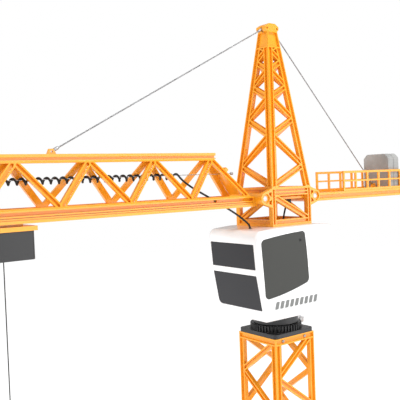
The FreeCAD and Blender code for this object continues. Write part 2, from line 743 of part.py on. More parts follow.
def build_head():
    lift = value(ROOF)
    shift = value("head_offset")
    half = value("mast_width / 2")
    tall = value("head_height")
    rail = value("rail_height")
    crown = value("crown_rail")
    thick = value("head_thick")
    lip = value("groove_lip")
    bar = value("bar_width")
    lug_z = value("lug_height")

    side = new_body("head_side")
    face = new_sketch(side, "XZ")
    head_outline(face)
    clear = half - thick
    window = [(-clear, rail), (clear, rail), (clear, tall - crown), (-clear, tall - crown)]
    brace = [((-half + 4, tall - crown), (half - 4, rail - 1))]
    draw_all(face, zigzag_openings(window, brace, bar))
    for x in ("-lug_reach", "lug_reach"):
        circle(face, x, "lug_height", "pin_radius + running_gap")
    pad(side, face, "head_thick", reverse=True)
    recess = new_sketch(side, "XZ")
    draw_all(recess, bar_grooves(window, brace, bar - 2 * lip))
    draw_all(recess, band_grooves(clear, rail, tall, crown, lip))
    for turn in (-1, 1):
        draw_all(recess, [[(turn * (half - lip), 3), (turn * (half - thick + lip), 3),
                           (turn * (half - thick + lip), tall - lip), (turn * (half - lip), tall - lip)]])
    pocket(side, recess, "groove_depth")
    lugs = new_sketch(side, "XZ")
    for turn in (-1, 1):
        for up in (-1, 1):
            draw_all(lugs, [[(turn * (half + 0.8), lug_z + up * 1.3), (turn * (half + 4.6), lug_z + up * 4.4),
                             (turn * (half + 4.6), lug_z + up * 6.6), (turn * (half + 0.8), lug_z + up * 7.2)]])
    pocket(side, lugs, "4")
    rings = new_sketch(side, "XZ")
    for x in ("-lug_reach", "lug_reach"):
        circle(rings, x, "lug_height", "pin_radius + 2.4")
    pocket(side, rings, "1.6")
    near = copy_at(side, Placement(Vector(shift, -half, lift), Rotation()))
    far = copy_at(side, Placement(Vector(shift, half, lift), Rotation(Z_AXIS, 180)))
    group("head_side_frames", [near, far])

    cross = new_body("head_cross")
    face = new_sketch(cross, "XZ")
    width = half - thick
    rectangle(face, "-(mast_width / 2 - head_thick)", "0", "mast_width / 2 - head_thick", "head_height")
    inner = width - 0.8
    window = [(-inner, rail), (inner, rail), (inner, tall - crown), (-inner, tall - crown)]
    brace = [((-inner, rail - 1), (inner, tall - crown + 1))]
    draw_all(face, zigzag_openings(window, brace, bar))
    pad(cross, face, "head_thick", reverse=True)
    recess = new_sketch(cross, "XZ")
    draw_all(recess, bar_grooves(window, brace, bar - 2 * lip))
    draw_all(recess, band_grooves(width, rail, tall, crown, lip))
    pocket(cross, recess, "groove_depth")
    front = copy_at(cross, Placement(Vector(shift - half, 0, lift), Rotation(Z_AXIS, -90)))
    rear = copy_at(cross, Placement(Vector(shift + half, 0, lift), Rotation(Z_AXIS, 90)))
    group("head_cross_frames", [front, rear])

    inner = "(mast_width / 2 - head_thick)"
    keep(block("head_deck", ("head_offset - " + inner, "-" + inner, ROOF + " + deck_height"),
               ("head_offset + " + inner, inner, ROOF + " + deck_height + 3")), "head_deck")
    keep(block("wiring_box", ("19.5", "-5", ROOF + " + 23.5"), ("28.5", "5", ROOF + " + deck_height")),
         "wiring_box")

    rise = value("spire_top - head_height")
    half_top = value("spire_half_top")
    lean = math.degrees(math.atan2(half - half_top, rise))
    slant = rise / math.cos(math.radians(lean))
    scale = slant / rise
    low_side = [2.0, 62.4, 107.4, 140.3, 164.3]
    high_side = [26.1, 81.9, 121.3, 151.3, 170.8]
    climb = []
    for start, end in zip(low_side, high_side):
        climb += [(-1, start * scale), (1, end * scale)]
    panels = []
    for turn, flip in ((0, 1), (1, -1), (2, 1), (3, -1)):
        if turn < 2:
            made = tapered_panel("spire_panel_%d" % turn, half - 0.14, half_top - 0.14, slant,
                                 [(side * flip, at) for side, at in climb], "panel_thick", 1.0, 167 * scale,
                                 lean)
            mitre(made, "panel_thick - 0.03")
            panels.append(made)
    sides = []
    for turn in range(4):
        spin = Placement(Vector(shift, 0, lift + tall), Rotation(Z_AXIS, -90 * turn))
        tilt = Placement(Vector(0, -half, 0), Rotation(X_AXIS, -lean))
        sides.append(copy_at(panels[turn % 2], spin * tilt))
    group("head_spire", sides)

    cap = new_body("head_cap", x="head_offset", z=ROOF)
    face = new_sketch(cap, "XZ")
    polygon(face, [("-spire_half_top", "spire_top"), ("spire_half_top", "spire_top"),
                   ("eye_reach + 2.6", "eye_height - 1"), ("eye_reach + 2.6", "eye_height + 2.4"),
                   ("5", "spire_top + cap_height"), ("-5", "spire_top + cap_height"),
                   ("-eye_reach - 2.6", "eye_height + 2.4"), ("-eye_reach - 2.6", "eye_height - 1")])
    circle(face, "-eye_reach", "eye_height", "1.2")
    circle(face, "eye_reach", "eye_height", "1.2")
    pad(cap, face, "2 * spire_half_top", both=True)
    for turn in (-1, 1):
        slot = new_sketch(cap, "XY", "spire_top - 1")
        edge = "%d * eye_reach" % turn
        rectangle(slot, edge + " - 3", "-1.3", edge + " + 3", "1.3")
        pocket(cap, slot, "cap_height + 2", reverse=True)
    keep(cap, "head_cap")

    pins = []
    for x in ("head_offset - lug_reach", "head_offset + lug_reach"):
        pins.append(rod("root_pin_shaft", "pin_radius", "mast_width - 3.2", x, "-mast_width / 2 + 1.6",
                        ROOF + " + lug_height", Y_AXIS))
    group("root_pins", pins)


# ---------------------------------------------------------------- jib

def side_slope():
    """Angle by which a side of the jib leans in from upright."""
    return math.degrees(math.atan2(value("side_foot - side_head"), value("side_high - side_low")))


def jib_side(name, left_end, right_end, setback):
    """Inclined zigzag side with thin rails, its nodes set back; its outside is the plane Y = 0."""
    lean = side_slope()
    stretch = 1 / math.cos(math.radians(lean))
    tall = value("side_high - side_low") * stretch
    rail = value("side_rail") * stretch
    bar = value("bar_width")
    lip = value("groove_lip")
    pitch = value("node_pitch")
    first = -value("first_node") - setback
    tops = [first - pitch * n for n in range(7)]
    spots = [(-value("first_foot") - setback, 0)]
    for top in tops:
        spots += [(top, tall), (top - pitch / 2, 0)]
    bars = list(zip(spots, spots[1:]))
    high, low, across = strip_sides(*bars[0], bar)
    window = [(left_end + 7, rail), (right_end, rail), (right_end, tall - rail), (left_end + 7, tall - rail)]
    outline = [(left_end, 0), (right_end, 0), (right_end, tall), (left_end, tall)]
    if across[0] < 0:
        outline = clip(outline, low, across)
    else:
        outline = clip(outline, high, (-across[0], -across[1]))
    body = new_body(name)
    face = new_sketch(body, "XZ")
    polygon(face, numbers(outline))
    openings = []
    edges = [strip_sides(start, end, bar) for start, end in bars]
    for index in range(len(bars)):
        edge_high, edge_low, edge_across = edges[index]
        if edge_across[0] > 0:
            part = clip(window, edge_low, (-edge_across[0], -edge_across[1]))
        else:
            part = clip(window, edge_high, edge_across)
        if index + 1 < len(bars):
            next_high, next_low, next_across = edges[index + 1]
            if next_across[0] > 0:
                part = clip(part, next_high, next_across)
            else:
                part = clip(part, next_low, (-next_across[0], -next_across[1]))
        if len(part) > 2 and area(part) > 12:
            openings.append(part)
    draw_all(face, openings)
    angle = math.radians(lean)
    inward = Vector(0, math.cos(angle), math.sin(angle))
    pad(body, face, "side_thick * %.6f" % math.cos(angle), direction=inward)
    recess = new_sketch(body, "XZ")
    grooves = []
    for start, end in bars:
        edge_high, edge_low, edge_across = strip_sides(start, end, bar - 2 * lip)
        part = clip(clip(window, edge_high, (-edge_across[0], -edge_across[1])), edge_low, edge_across)
        near_x, far_x = sorted((start[0], end[0]))
        part = clip(clip(part, (near_x + 1, 0), (1, 0)), (far_x - 1, 0), (-1, 0))
        if len(part) > 2 and area(part) > 6:
            grooves.append(part)
    draw_all(recess, grooves)
    pocket(body, recess, "groove_depth")
    return body


def chord_outline(turn):
    """Section of a lower chord, open outwards, with an inner ledge for the trolley's wheels."""
    outer = value("chord_outer")
    inner = outer - value("chord_wall")
    ledge = value("ledge_inner")
    low = value("chord_low")
    high = value("chord_high")
    step = low + value("ledge_height")
    spots = [(outer, high)]
    for top, bottom, depth in ((34.8, 31.5, 4), (30.3, 29.3, 2.4), (28.2, 27.5, 1.4)):
        spots += [(outer, top), (outer - depth, top), (outer - depth, bottom), (outer, bottom)]
    spots += [(outer, low), (ledge, low), (ledge, step), (inner, step), (inner, high)]
    return [(turn * y, z) for y, z in spots]


def build_jib():
    """Jib; returns the yoke at its root, which shares a node with the counter-jib's."""
    lift = value(ROOF)
    lean = side_slope()
    left = -value("jib_end")
    right = -value("jib_root")
    foot = value("side_foot")
    near_side = jib_side("jib_side_near", left, right, 0)
    other_side = jib_side("jib_side_other", left, right, value("far_offset"))
    for body in (near_side, other_side):
        body.Placement = Placement(Vector(0, -foot, lift + value("side_low")), Rotation(X_AXIS, -lean))
    far_side = doc.addObject("Part::Mirroring", "jib_side_far")
    far_side.Source = other_side
    far_side.Base = Vector(0, 0, 0)
    far_side.Normal = Vector(0, 1, 0)
    group("jib_side_trusses", [near_side, far_side])

    chords = []
    for name, turn in (("jib_lower_chord_near", -1), ("jib_lower_chord_far", 1)):
        chord = new_body(name, z=ROOF)
        section = new_sketch(chord, "YZ", "-jib_end")
        polygon(section, numbers(chord_outline(turn)))
        pad(chord, section, "jib_end - jib_root")
        slots = new_sketch(chord, "XZ", "%d * (chord_outer + 1)" % -turn)
        rectangle(slots, "-101", "31.8", "-96.6", "34.6")
        rectangle(slots, "-jib_root - 13", "31.8", "-jib_root - 1.5", "34.6")
        pocket(chord, slots, "chord_wall + 2", reverse=turn > 0)
        chords.append(chord)
    group("jib_lower_chords", chords)

    top = new_body("jib_top_chord", z=ROOF)
    section = new_sketch(top, "YZ", "-jib_end")
    half = value("top_chord_half")
    low = value("top_chord_low")
    high = value("top_chord_high")
    deep = half - 2.3
    polygon(section, numbers([(half, low), (half, 81.5), (deep, 81.5), (deep, 84.1), (half, 84.1),
                              (half, high), (-half, high), (-half, 84.1), (-deep, 84.1),
                              (-deep, 81.5), (-half, 81.5), (-half, low)]))
    pad(top, section, "jib_end - top_chord_start")
    lug = new_sketch(top, "XZ")
    polygon(lug, [("-pendant_lug - 5", "top_chord_high - 1"), ("-pendant_lug + 5", "top_chord_high - 1"),
                  ("-pendant_lug + 2.4", "top_chord_high + 5"), ("-pendant_lug - 2.4", "top_chord_high + 5")])
    circle(lug, "-pendant_lug", "top_chord_high + 2.4", "1.1")
    pad(top, lug, "3", both=True)
    keep(top, "jib_top_chord")

    yoke = new_body("root_yoke", z=ROOF)
    face = new_sketch(yoke, "XZ")
    rectangle(face, "-jib_root", "chord_low", "-lug_reach + head_offset - 1", "chord_high")
    pad(yoke, face, "2 * chord_outer", both=True)
    knuckle = new_sketch(yoke, "XZ")
    circle(knuckle, "-lug_reach + head_offset", "lug_height", "6.4")
    pad(yoke, knuckle, "mast_width - 2 * head_thick - 0.6", both=True)
    bore = new_sketch(yoke, "XZ")
    circle(bore, "-lug_reach + head_offset", "lug_height", "pin_radius + running_gap")
    pocket(yoke, bore, "mast_width", both=True)

    run = value("first_node") - value("first_foot")
    rise = value("side_high - side_low")
    length = math.hypot(run, rise)
    slant = math.degrees(math.atan2(rise, run))
    wide = foot - value("side_thick") - 0.5
    narrow = 0.1
    plate = new_body("root_plate")
    face = new_sketch(plate, "XY")
    start = 4.0
    stop = length - 3.0
    polygon(face, numbers([(start, -wide + (wide - narrow) * start / length),
                           (stop, -wide + (wide - narrow) * stop / length),
                           (stop, wide - (wide - narrow) * stop / length),
                           (start, wide - (wide - narrow) * start / length)]))
    pad(plate, face, "1.8", both=True)
    tab = new_sketch(plate, "XY", "0.9")
    at = (value("wire_height") - value("side_low")) / rise * length
    rectangle(tab, "%.3f" % (at - 3.4), "-3.2", "%.3f" % (at + 0.8), "3.2")
    pad(plate, tab, "9")
    plate.Placement = Placement(Vector(-value("first_foot"), 0, lift + value("side_low")),
                                Rotation(Y_AXIS, slant) * Rotation(Z_AXIS, 180))
    hole = rod("wire_hole", "wire_radius + running_gap", "60", "-110", "0", ROOF + " + wire_height", X_AXIS)
    keep(cut("root_plate_cut", plate, hole), "jib_root_plate")

    tip = new_body("jib_tip", x="-jib_end", z=ROOF)
    face = new_sketch(tip, "YZ")
    polygon(face, [("-chord_outer", "chord_low"), ("chord_outer", "chord_low"), ("chord_outer", "chord_high"),
                   ("top_chord_half", "side_high"), ("top_chord_half", "top_chord_high"),
                   ("-top_chord_half", "top_chord_high"), ("-top_chord_half", "side_high"),
                   ("-chord_outer", "chord_high")])
    polygon(face, [("-chord_outer + 5", "chord_low + 4"), ("chord_outer - 5", "chord_low + 4"),
                   ("chord_outer - 5.5", "chord_high"), ("-chord_outer + 5.5", "chord_high")])
    circle(face, "0", "wire_height", "wire_radius + running_gap")
    pad(tip, face, "7", reverse=True)
    keep(tip, "jib_tip")

    level = ROOF + " + wire_height"
    threaded = [rod("guide_wire_rod", "wire_radius", "jib_end + 9 - 62", "-jib_end - 9", "0", level, X_AXIS)]
    for name, at in (("stopper_root", "-64"), ("stopper_tip", "-jib_end - 10.5")):
        threaded.append(cut(name, rod(name + "_rod", "1.7", "3.4", at, "0", level, X_AXIS),
                            rod(name + "_hole", "wire_radius", "3.4", at, "0", level, X_AXIS)))
    group("guide_wire", threaded)
    return yoke


# ---------------------------------------------------------------- cords and wires

def tube_along(points, radius, name):
    """Round tube on straight runs joined by arcs, each as large as its two runs allow."""
    spots = [Vector(*point) for point in points]
    edges = []
    start = spots[0]
    length = 0
    radii = []
    for index in range(1, len(spots) - 1):
        before = spots[index] - spots[index - 1]
        after = spots[index + 1] - spots[index]
        turn = before.getAngle(after)
        back = 0.45 * min(before.Length, after.Length)
        radii.append(back / math.tan(turn / 2))
        into = Vector(before).normalize()
        out = Vector(after).normalize()
        enter = spots[index] - into * back
        leave = spots[index] + out * back
        inward = (out - into).normalize()
        gap = radii[-1] / math.cos(turn / 2) - radii[-1]
        edges.append(Part.LineSegment(start, enter).toShape())
        edges.append(Part.Arc(enter, spots[index] + inward * gap, leave).toShape())
        length += (enter - start).Length + radii[-1] * turn
        start = leave
    edges.append(Part.LineSegment(start, spots[-1]).toShape())
    length += (spots[-1] - start).Length
    path = Part.Wire(edges)
    ring = Part.Wire(Part.makeCircle(radius, spots[0], spots[1] - spots[0]))
    tube = path.makePipeShell([ring], True, True)
    expected = math.pi * radius ** 2 * length
    print(name, "length", round(length, 1), "radii", [round(r, 1) for r in radii],
          "volume ratio", round(tube.Volume / expected, 4))
    if abs(tube.Volume / expected - 1) > 0.01:
        raise RuntimeError("tube volume is off: " + name)
    return tube


# From the coil's end down through the jib to the hole in the cab roof, relative to the roof.
LEAD_ROUTE = [(-138.5, 0, 61.1), (-133.8, -0.2, 59.1), (-126.6, -0.5, 53.6), (-116, -1.2, 46.9),
              (-103.3, -2.6, 40.2), (-89, -4.6, 31.9), (-74.5, -6.9, 23.4), (-61.5, -9.3, 14.9),
              (-52.3, -10.9, 7.6), (-46.4, -11.4, 2.3), (-46, -11.3, -4.6)]
# From the cab roof up to the wiring box under the head's deck.
FEEDER_ROUTE = [(18.0, 0, -4.0), (18.2, 0.1, 0.4), (19.1, 0.3, 5.8), (20.7, 0.4, 11.6), (22.6, 0.2, 17.4),
                (24.1, 0, 23.15)]


def build_cords():
    lift = value(ROOF)
    for name, route in (("coil_lead", LEAD_ROUTE), ("feeder_cable", FEEDER_ROUTE)):
        raised = [(x, y, z + lift) for x, y, z in route]
        cord = doc.addObject("Part::Feature", name)
        cord.Shape = tube_along(raised, value("cord_radius"), name)
        keep(cord, name)
    coil = cut("coil_cut",
               rod("coil_rod", "coil_radius", "trolley_rest - coil_start - 5", "-trolley_rest + 5", "0",
                   ROOF + " + wire_height - coil_hang", X_AXIS),
               rod("coil_space", "coil_radius - 2 * cord_radius", "trolley_rest - coil_start - 5",
                   "-trolley_rest + 5", "0", ROOF + " + wire_height - coil_hang", X_AXIS))
    keep(coil, "curly_cord")
    grommet = cut("grommet_cut",
                  rod("grommet_body", "cord_radius + 1.4", "4.2", "-46", "-11.3", ROOF + " - 4.8"),
                  rod("grommet_bore", "cord_radius + 0.6", "6", "-46", "-11.3", ROOF + " - 5.6"))
    keep(grommet, "cord_grommet")

    def stay(name, start, end):
        """Straight wire between two eyes, in the plane Y = 0."""
        a = Vector(*start) + Vector(0, 0, lift)
        b = Vector(*end) + Vector(0, 0, lift)
        run = b - a
        wire = doc.addObject("Part::Cylinder", name)
        wire.setExpression("Radius", sized("pendant_radius"))
        wire.Height = run.Length
        wire.Placement = Placement(a, Rotation(Z_AXIS, run))
        return wire

    eye = value("eye_reach")
    high = value("eye_height")
    lug = value("pendant_lug")
    lug_z = value("top_chord_high") + 2.4
    shift = value("head_offset")
    slope = Vector(-(lug + shift - eye), 0, lug_z - high).normalize()
    front = stay("jib_pendant", (shift - eye + slope.x * 1.6, 0, high + slope.z * 1.6),
                 (-lug - slope.x * 4.6, 0, lug_z - slope.z * 4.6))
    end = Vector(196, 0, value("counter_high") + 5)
    slope = (end - Vector(shift + eye, 0, high)).normalize()
    rear = stay("counter_pendant", (shift + eye + slope.x * 1.6, 0, high + slope.z * 1.6),
                (end.x - slope.x * 4.6, 0, end.z - slope.z * 4.6))
    group("pendant_wires", [front, rear])


# ---------------------------------------------------------------- counter-jib

def build_counter_jib(jib_yoke):
    yoke = new_body("counter_yoke", z=ROOF)
    face = new_sketch(yoke, "XZ")
    rectangle(face, "lug_reach + head_offset + 1", "counter_low", "counter_root", "counter_high")
    pad(yoke, face, "2 * counter_half", both=True)
    knuckle = new_sketch(yoke, "XZ")
    circle(knuckle, "lug_reach + head_offset", "lug_height", "6.4")
    pad(yoke, knuckle, "mast_width - 2 * head_thick - 0.6", both=True)
    bore = new_sketch(yoke, "XZ")
    circle(bore, "lug_reach + head_offset", "lug_height", "pin_radius + running_gap")
    pocket(yoke, bore, "mast_width", both=True)
    group("root_yokes", [jib_yoke, yoke])

    frame = new_body("counter_frame", z=ROOF)
    face = new_sketch(frame, "XY", "counter_low")
    rectangle(face, "counter_root", "-counter_half", "counter_length", "counter_half")
    openings = 4
    start = value("counter_root") + 7
    pitch = (value("counter_length") - 56 - start) / openings
    for index in range(openings):
        low = start + index * pitch
        rectangle(face, "%.3f" % low, "-counter_half + 7", "%.3f" % (low + pitch - 6), "counter_half - 7")
    pad(frame, face, "counter_high - counter_low")
    for turn in (-1, 1):
        groove = new_sketch(frame, "XZ", "%d * counter_half" % turn)
        rectangle(groove, "counter_root + 4", "counter_low + 3", "counter_length - 3", "counter_high - 3")
        pocket(frame, groove, "groove_depth", reverse=turn < 0)
    lug = new_sketch(frame, "XZ")
    polygon(lug, [("190", "counter_high - 1"), ("202", "counter_high - 1"), ("198.4", "counter_high + 7.6"),
                  ("193.6", "counter_high + 7.6")])
    circle(lug, "196", "counter_high + 5", "1.1")
    pad(frame, lug, "3", both=True)
    keep(frame, "counter_jib_frame")

    tall = value("rail_tall")
    fence = new_body("fence")
    face = new_sketch(fence, "XZ")
    rectangle(face, "rail_start", "0", "counter_length - 2", "rail_tall")
    begin = value("rail_start") + 3
    count = 5
    pitch = (value("counter_length") - 5 - begin) / count
    for index in range(count):
        low = begin + index * pitch
        for bottom, top in ((3, tall / 2 - 1), (tall / 2 + 1.2, tall - 3)):
            rectangle(face, "%.3f" % low, "%.3f" % bottom, "%.3f" % (low + pitch - 3), "%.3f" % top)
    pad(fence, face, "2.4", reverse=True)
    side, level = value("counter_half"), value(ROOF + " + counter_high")
    near = copy_at(fence, Placement(Vector(0, -side, level), Rotation()))
    far = copy_at(fence, Placement(Vector(0, side - 2.4, level), Rotation()))
    group("counter_railings", [near, far])

    weight = new_body("counterweight_slab")
    face = new_sketch(weight, "YZ")
    wide = value("weight_width") / 2
    top = value("weight_height")
    polygon(face, numbers([(-wide, 0), (wide, 0), (wide, top - 6),
                           (wide - 6, top), (-wide + 6, top), (-wide, top - 6)]))
    pad(weight, face, "weight_thick")
    slabs = []
    for index in range(2):
        spot = Vector(value("counter_length") - 5 - (index + 1) * 12, 0, value(ROOF + " + counter_high"))
        slabs.append(copy_at(weight, Placement(spot, Rotation())))
    group("counterweights", slabs)


# ---------------------------------------------------------------- trolley and hook

def build_trolley():
    here = "-trolley_rest"
    frame = new_body("trolley_frame", x=here, z=ROOF)
    neck = new_sketch(frame, "XZ")
    polygon(neck, [("-axle_reach - 6", "22"), ("axle_reach + 6", "22"), ("axle_reach + 6", "37"),
                   ("5", "37"), ("-5", "37"), ("-axle_reach - 6", "37")])
    for x in ("-axle_reach", "axle_reach"):
        circle(neck, x, "chord_low + ledge_height + wheel_radius", "axle_radius + running_gap")
    pad(frame, neck, "2 * ledge_inner - 1.4", both=True)
    post = new_sketch(frame, "XZ")
    polygon(post, [("-5", "36"), ("5", "36"), ("3.6", "wire_height + 4"), ("-3.6", "wire_height + 4")])
    pad(frame, post, "5", both=True)
    plate = new_sketch(frame, "XY", "18")
    rectangle(plate, "-33", "-17.5", "33", "17.5")
    pad(frame, plate, "4.2")
    eye = new_sketch(frame, "YZ", "-8")
    circle(eye, "0", "wire_height", "wire_radius + 0.6")
    pocket(frame, eye, "16", reverse=True)
    keep(frame, "trolley_frame")

    cover = new_body("trolley_cover", x=here, z=ROOF)
    box = new_sketch(cover, "XY", "-8")
    rounded(box, oblong(62, 33), 4)
    pad(cover, box, "26")
    space = new_sketch(cover, "XY", "-6.2")
    rounded(space, oblong(58.4, 29.4), 2.2)
    pocket(cover, space, "24.2", reverse=True)
    slot = new_sketch(cover, "XY", "-8")
    rounded(slot, oblong(24, 8), 2)
    pocket(cover, slot, "3", reverse=True)
    keep(cover, "trolley_cover")

    motors = []
    for name, turn in (("travel_motor", -1), ("hoist_motor", 1)):
        can = fuse(name + "_parts", [
            rod(name + "_can", "7", "20", here + " + %d * 20" % turn, "-10", ROOF + " + 7", Y_AXIS),
            rod(name + "_nose", "2.4", "2", here + " + %d * 20" % turn, "10", ROOF + " + 7", Y_AXIS)])
        motors.append(can)
    group("trolley_motors", motors)

    drum = new_body("hoist_drum", x=here + " - 1", z=ROOF + " + 6")
    profile = new_sketch(drum, "XZ")
    circle(profile, "0", "0", "drum_radius")
    pad(drum, profile, "14", both=True)
    for spot in ("-8.2", "7"):
        flange = new_sketch(drum, "XZ", spot)
        circle(flange, "0", "0", "drum_radius + 3")
        pad(drum, flange, "1.2")
    keep(drum, "hoist_drum")

    height = "chord_low + ledge_height + wheel_radius"
    for name, turn in (("front", -1), ("rear", 1)):
        spot = here + " + %d * axle_reach" % turn
        axle = rod(name + "_axle_rod", "axle_radius", "2 * (ledge_inner + 2.9)", spot, "-ledge_inner - 2.9",
                   ROOF + " + " + height, Y_AXIS)
        wheels = [axle]
        for side, at in ((-1, "-ledge_inner - 0.5 - wheel_thick"), (1, "ledge_inner + 0.5")):
            level = ROOF + " + " + height
            disc = rod(name + "_wheel_disc", "wheel_radius", "wheel_thick", spot, at, level, Y_AXIS)
            hole = rod(name + "_wheel_hole", "axle_radius", "wheel_thick", spot, at, level, Y_AXIS)
            wheels.append(cut(name + "_wheel", disc, hole))
        group(name + "_wheelset", wheels)

    falls = []
    for turn in (-1, 1):
        at = here + " + %d * sheave_radius" % turn
        falls.append(rod("rope_fall", "rope_radius", "hook_drop - 9", at, "0", ROOF + " - hook_drop"))
    group("hoist_rope", falls)


def build_hook():
    here = "-trolley_rest"
    level = ROOF + " - hook_drop"
    sheave = new_body("hook_sheave", x=here, z=level)
    outline = new_sketch(sheave, "XY")
    inner = value("sheave_radius - rope_radius")
    profile = [(1.55, -2.4), (inner + 2, -2.4), (inner, -0.5), (inner, 0.5), (inner + 2, 2.4), (1.55, 2.4)]
    polygon(outline, numbers(profile))
    spin = sheave.newObject("PartDesign::Revolution", "sheave_turn")
    spin.Profile = outline
    spin.ReferenceAxis = (outline, ["V_Axis"])
    spin.Angle = 360
    doc.recompute()
    keep(sheave, "hook_sheave")

    cheeks = []
    for turn, at in ((-1, "-4.6"), (1, "4.6")):
        cheek = new_body("cheek_%s" % ("near" if turn < 0 else "far"), x=here, z=level)
        face = new_sketch(cheek, "XZ")
        rounded(face, [(-9.5, -20), (9.5, -20), (9.5, 9.5), (-9.5, 9.5)], 6)
        circle(face, "0", "0", "1.55")
        pad(cheek, face, "2", both=True)
        cheek.setExpression("Placement.Base.y", sized(at))
        cheeks.append(cheek)
    group("hook_cheeks", cheeks)
    pin = rod("sheave_pin", "1.5", "14", here, "-7", level, Y_AXIS)
    crosshead = cut("crosshead",
                    block("crosshead_block", (here + " - 7", "-3.6", level + " - 19"),
                          (here + " + 7", "3.6", level + " - 11")),
                    rod("crosshead_bore", "2 + running_gap", "10", here, "0", level + " - 20"))
    group("hook_block_pins", [pin, crosshead])

    ring_level = level + " - 40"
    band = cut("hook_band", rod("hook_disc", "12", "5", here, "-2.5", ring_level, Y_AXIS),
               rod("hook_gap", "6.2", "7", here, "-3.5", ring_level, Y_AXIS))
    mouth = block("hook_mouth", (here + " + 2.6", "-4", ring_level + " + 1"),
                  (here + " + 13", "4", ring_level + " + 13"))
    open_band = cut("hook_open", band, mouth)
    shank = rod("hook_shank", "2", "20.6", here, "0", ring_level + " + 10")
    collar = rod("hook_collar", "4", "2.4", here, "0", ring_level + " + 17.6")
    nut = rod("hook_nut", "3.2", "1.4", here, "0", ring_level + " + 29.2")
    pivot = rod("latch_bore", "latch_pin + running_gap", "8", here + " + latch_x", "-4",
                ring_level + " + latch_z", Y_AXIS)
    keep(cut("hook_bored", fuse("hook_parts", [open_band, shank, collar, nut]), pivot), "hook")

    latch = new_body("hook_latch", x=here, z=ring_level)
    lean = math.radians(20.4)
    hinge = Vector(value("latch_x"), value("latch_z"), 0)
    down = Vector(math.sin(lean), -math.cos(lean), 0)
    side = Vector(math.cos(lean), math.sin(lean), 0) * 0.6
    end = hinge + down * 9.2
    tongue = new_sketch(latch, "XZ")
    corners = (hinge - side, end - side, end + side, hinge + side)
    polygon(tongue, numbers([(spot.x, spot.y) for spot in corners]))
    pad(latch, tongue, "6.6", both=True)
    ears = new_sketch(latch, "XZ")
    circle(ears, "latch_x", "latch_z", "1.7")
    pad(latch, ears, "6.6", both=True)
    fork = new_sketch(latch, "XZ")
    circle(fork, "latch_x", "latch_z", "3.95")
    pocket(latch, fork, "5.2", both=True)
    pin = new_sketch(latch, "XZ")
    circle(pin, "latch_x", "latch_z", "latch_pin")
    pad(latch, pin, "6.6", both=True)
    keep(latch, "hook_latch")


build_base()
build_mast()
build_slew()
build_cab()
build_cab_inside()
build_head()
root_yoke = build_jib()
build_cords()
build_counter_jib(root_yoke)
build_trolley()
build_hook()

doc.recompute()
for thing in doc.Objects:
    if "Invalid" in thing.State or "Error" in thing.State:
        raise RuntimeError("failed object: " + thing.Name)
for thing in nodes:
    if thing.Shape.isNull() or not thing.Shape.isValid():
        raise RuntimeError("bad shape: " + thing.Label)

os.makedirs("parts", exist_ok=True)
for thing in nodes:
    thing.Shape.exportStep("parts/%s.step" % thing.Label)
print(len(nodes), "nodes,", sum(len(thing.Shape.Solids) for thing in nodes), "solids")
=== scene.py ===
"""Toy tower crane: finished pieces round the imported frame, in metres, +Z up, the jib along -X."""

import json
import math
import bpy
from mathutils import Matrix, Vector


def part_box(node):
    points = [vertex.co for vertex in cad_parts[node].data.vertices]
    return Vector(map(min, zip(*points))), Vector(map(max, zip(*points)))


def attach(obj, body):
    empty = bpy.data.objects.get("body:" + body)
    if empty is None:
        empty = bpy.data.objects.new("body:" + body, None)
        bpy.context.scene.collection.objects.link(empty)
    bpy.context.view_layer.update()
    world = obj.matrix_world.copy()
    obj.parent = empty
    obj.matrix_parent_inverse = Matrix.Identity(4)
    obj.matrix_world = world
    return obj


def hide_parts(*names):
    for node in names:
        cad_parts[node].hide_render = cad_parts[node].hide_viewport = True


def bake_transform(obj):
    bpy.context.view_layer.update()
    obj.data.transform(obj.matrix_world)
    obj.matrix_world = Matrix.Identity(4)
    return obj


bl_info = {
    "name": "Toy Tower Crane",
    "version": (1, 0, 0),
    "blender": (4, 5, 0),
    "location": "View3D > Sidebar > Crane",
    "description": "Finishes a toy tower crane: moulded lattice, cab, cords, ropes, trolley and hook",
    "category": "Object",
}

import bmesh
import bpy
import numpy as np
from bpy.props import FloatProperty, FloatVectorProperty, IntProperty, PointerProperty
from bpy.types import Operator, Panel, PropertyGroup
from mathutils import Matrix

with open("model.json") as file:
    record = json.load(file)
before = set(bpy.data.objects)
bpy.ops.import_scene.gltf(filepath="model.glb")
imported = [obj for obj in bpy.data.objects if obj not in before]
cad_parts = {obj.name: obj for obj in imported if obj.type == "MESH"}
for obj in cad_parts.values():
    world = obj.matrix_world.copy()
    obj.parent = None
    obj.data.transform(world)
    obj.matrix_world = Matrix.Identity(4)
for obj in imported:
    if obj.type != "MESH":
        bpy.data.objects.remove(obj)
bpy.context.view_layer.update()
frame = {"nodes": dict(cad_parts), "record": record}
SLOT_OF = {part["node"]: part["material_slot"] for part in frame["record"]["subparts"]}
BODY_OF = {node: body for body, nodes in frame["record"]["behaviour"]["bodies"].items() for node in nodes}

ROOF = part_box("cab_shell")[1].z
TROLLEY_X = (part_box("trolley_frame")[0].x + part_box("trolley_frame")[1].x) / 2
SHEAVE_Z = (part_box("hook_sheave")[0].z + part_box("hook_sheave")[1].z) / 2
WIRE_Z = ROOF + 0.0634
COIL_Z = WIRE_Z - 0.0012
COIL_START_X = -0.1405
HEAD_X = 0.0025
SPIRE_EYE = (0.008, ROOF + 0.235)
JIB_LUG = (-0.283, ROOF + 0.0895)
COUNTER_LUG = (0.196, ROOF + 0.041)
STOPPER_X = -0.064
ROPE_REACH = 0.0066
MAST_HALF = 0.0296
MAST_PITCH = 0.222
MAST_FOOT = 0.022
BOLT_CIRCLE = 0.048
BARS_Z = ROOF - 0.0876

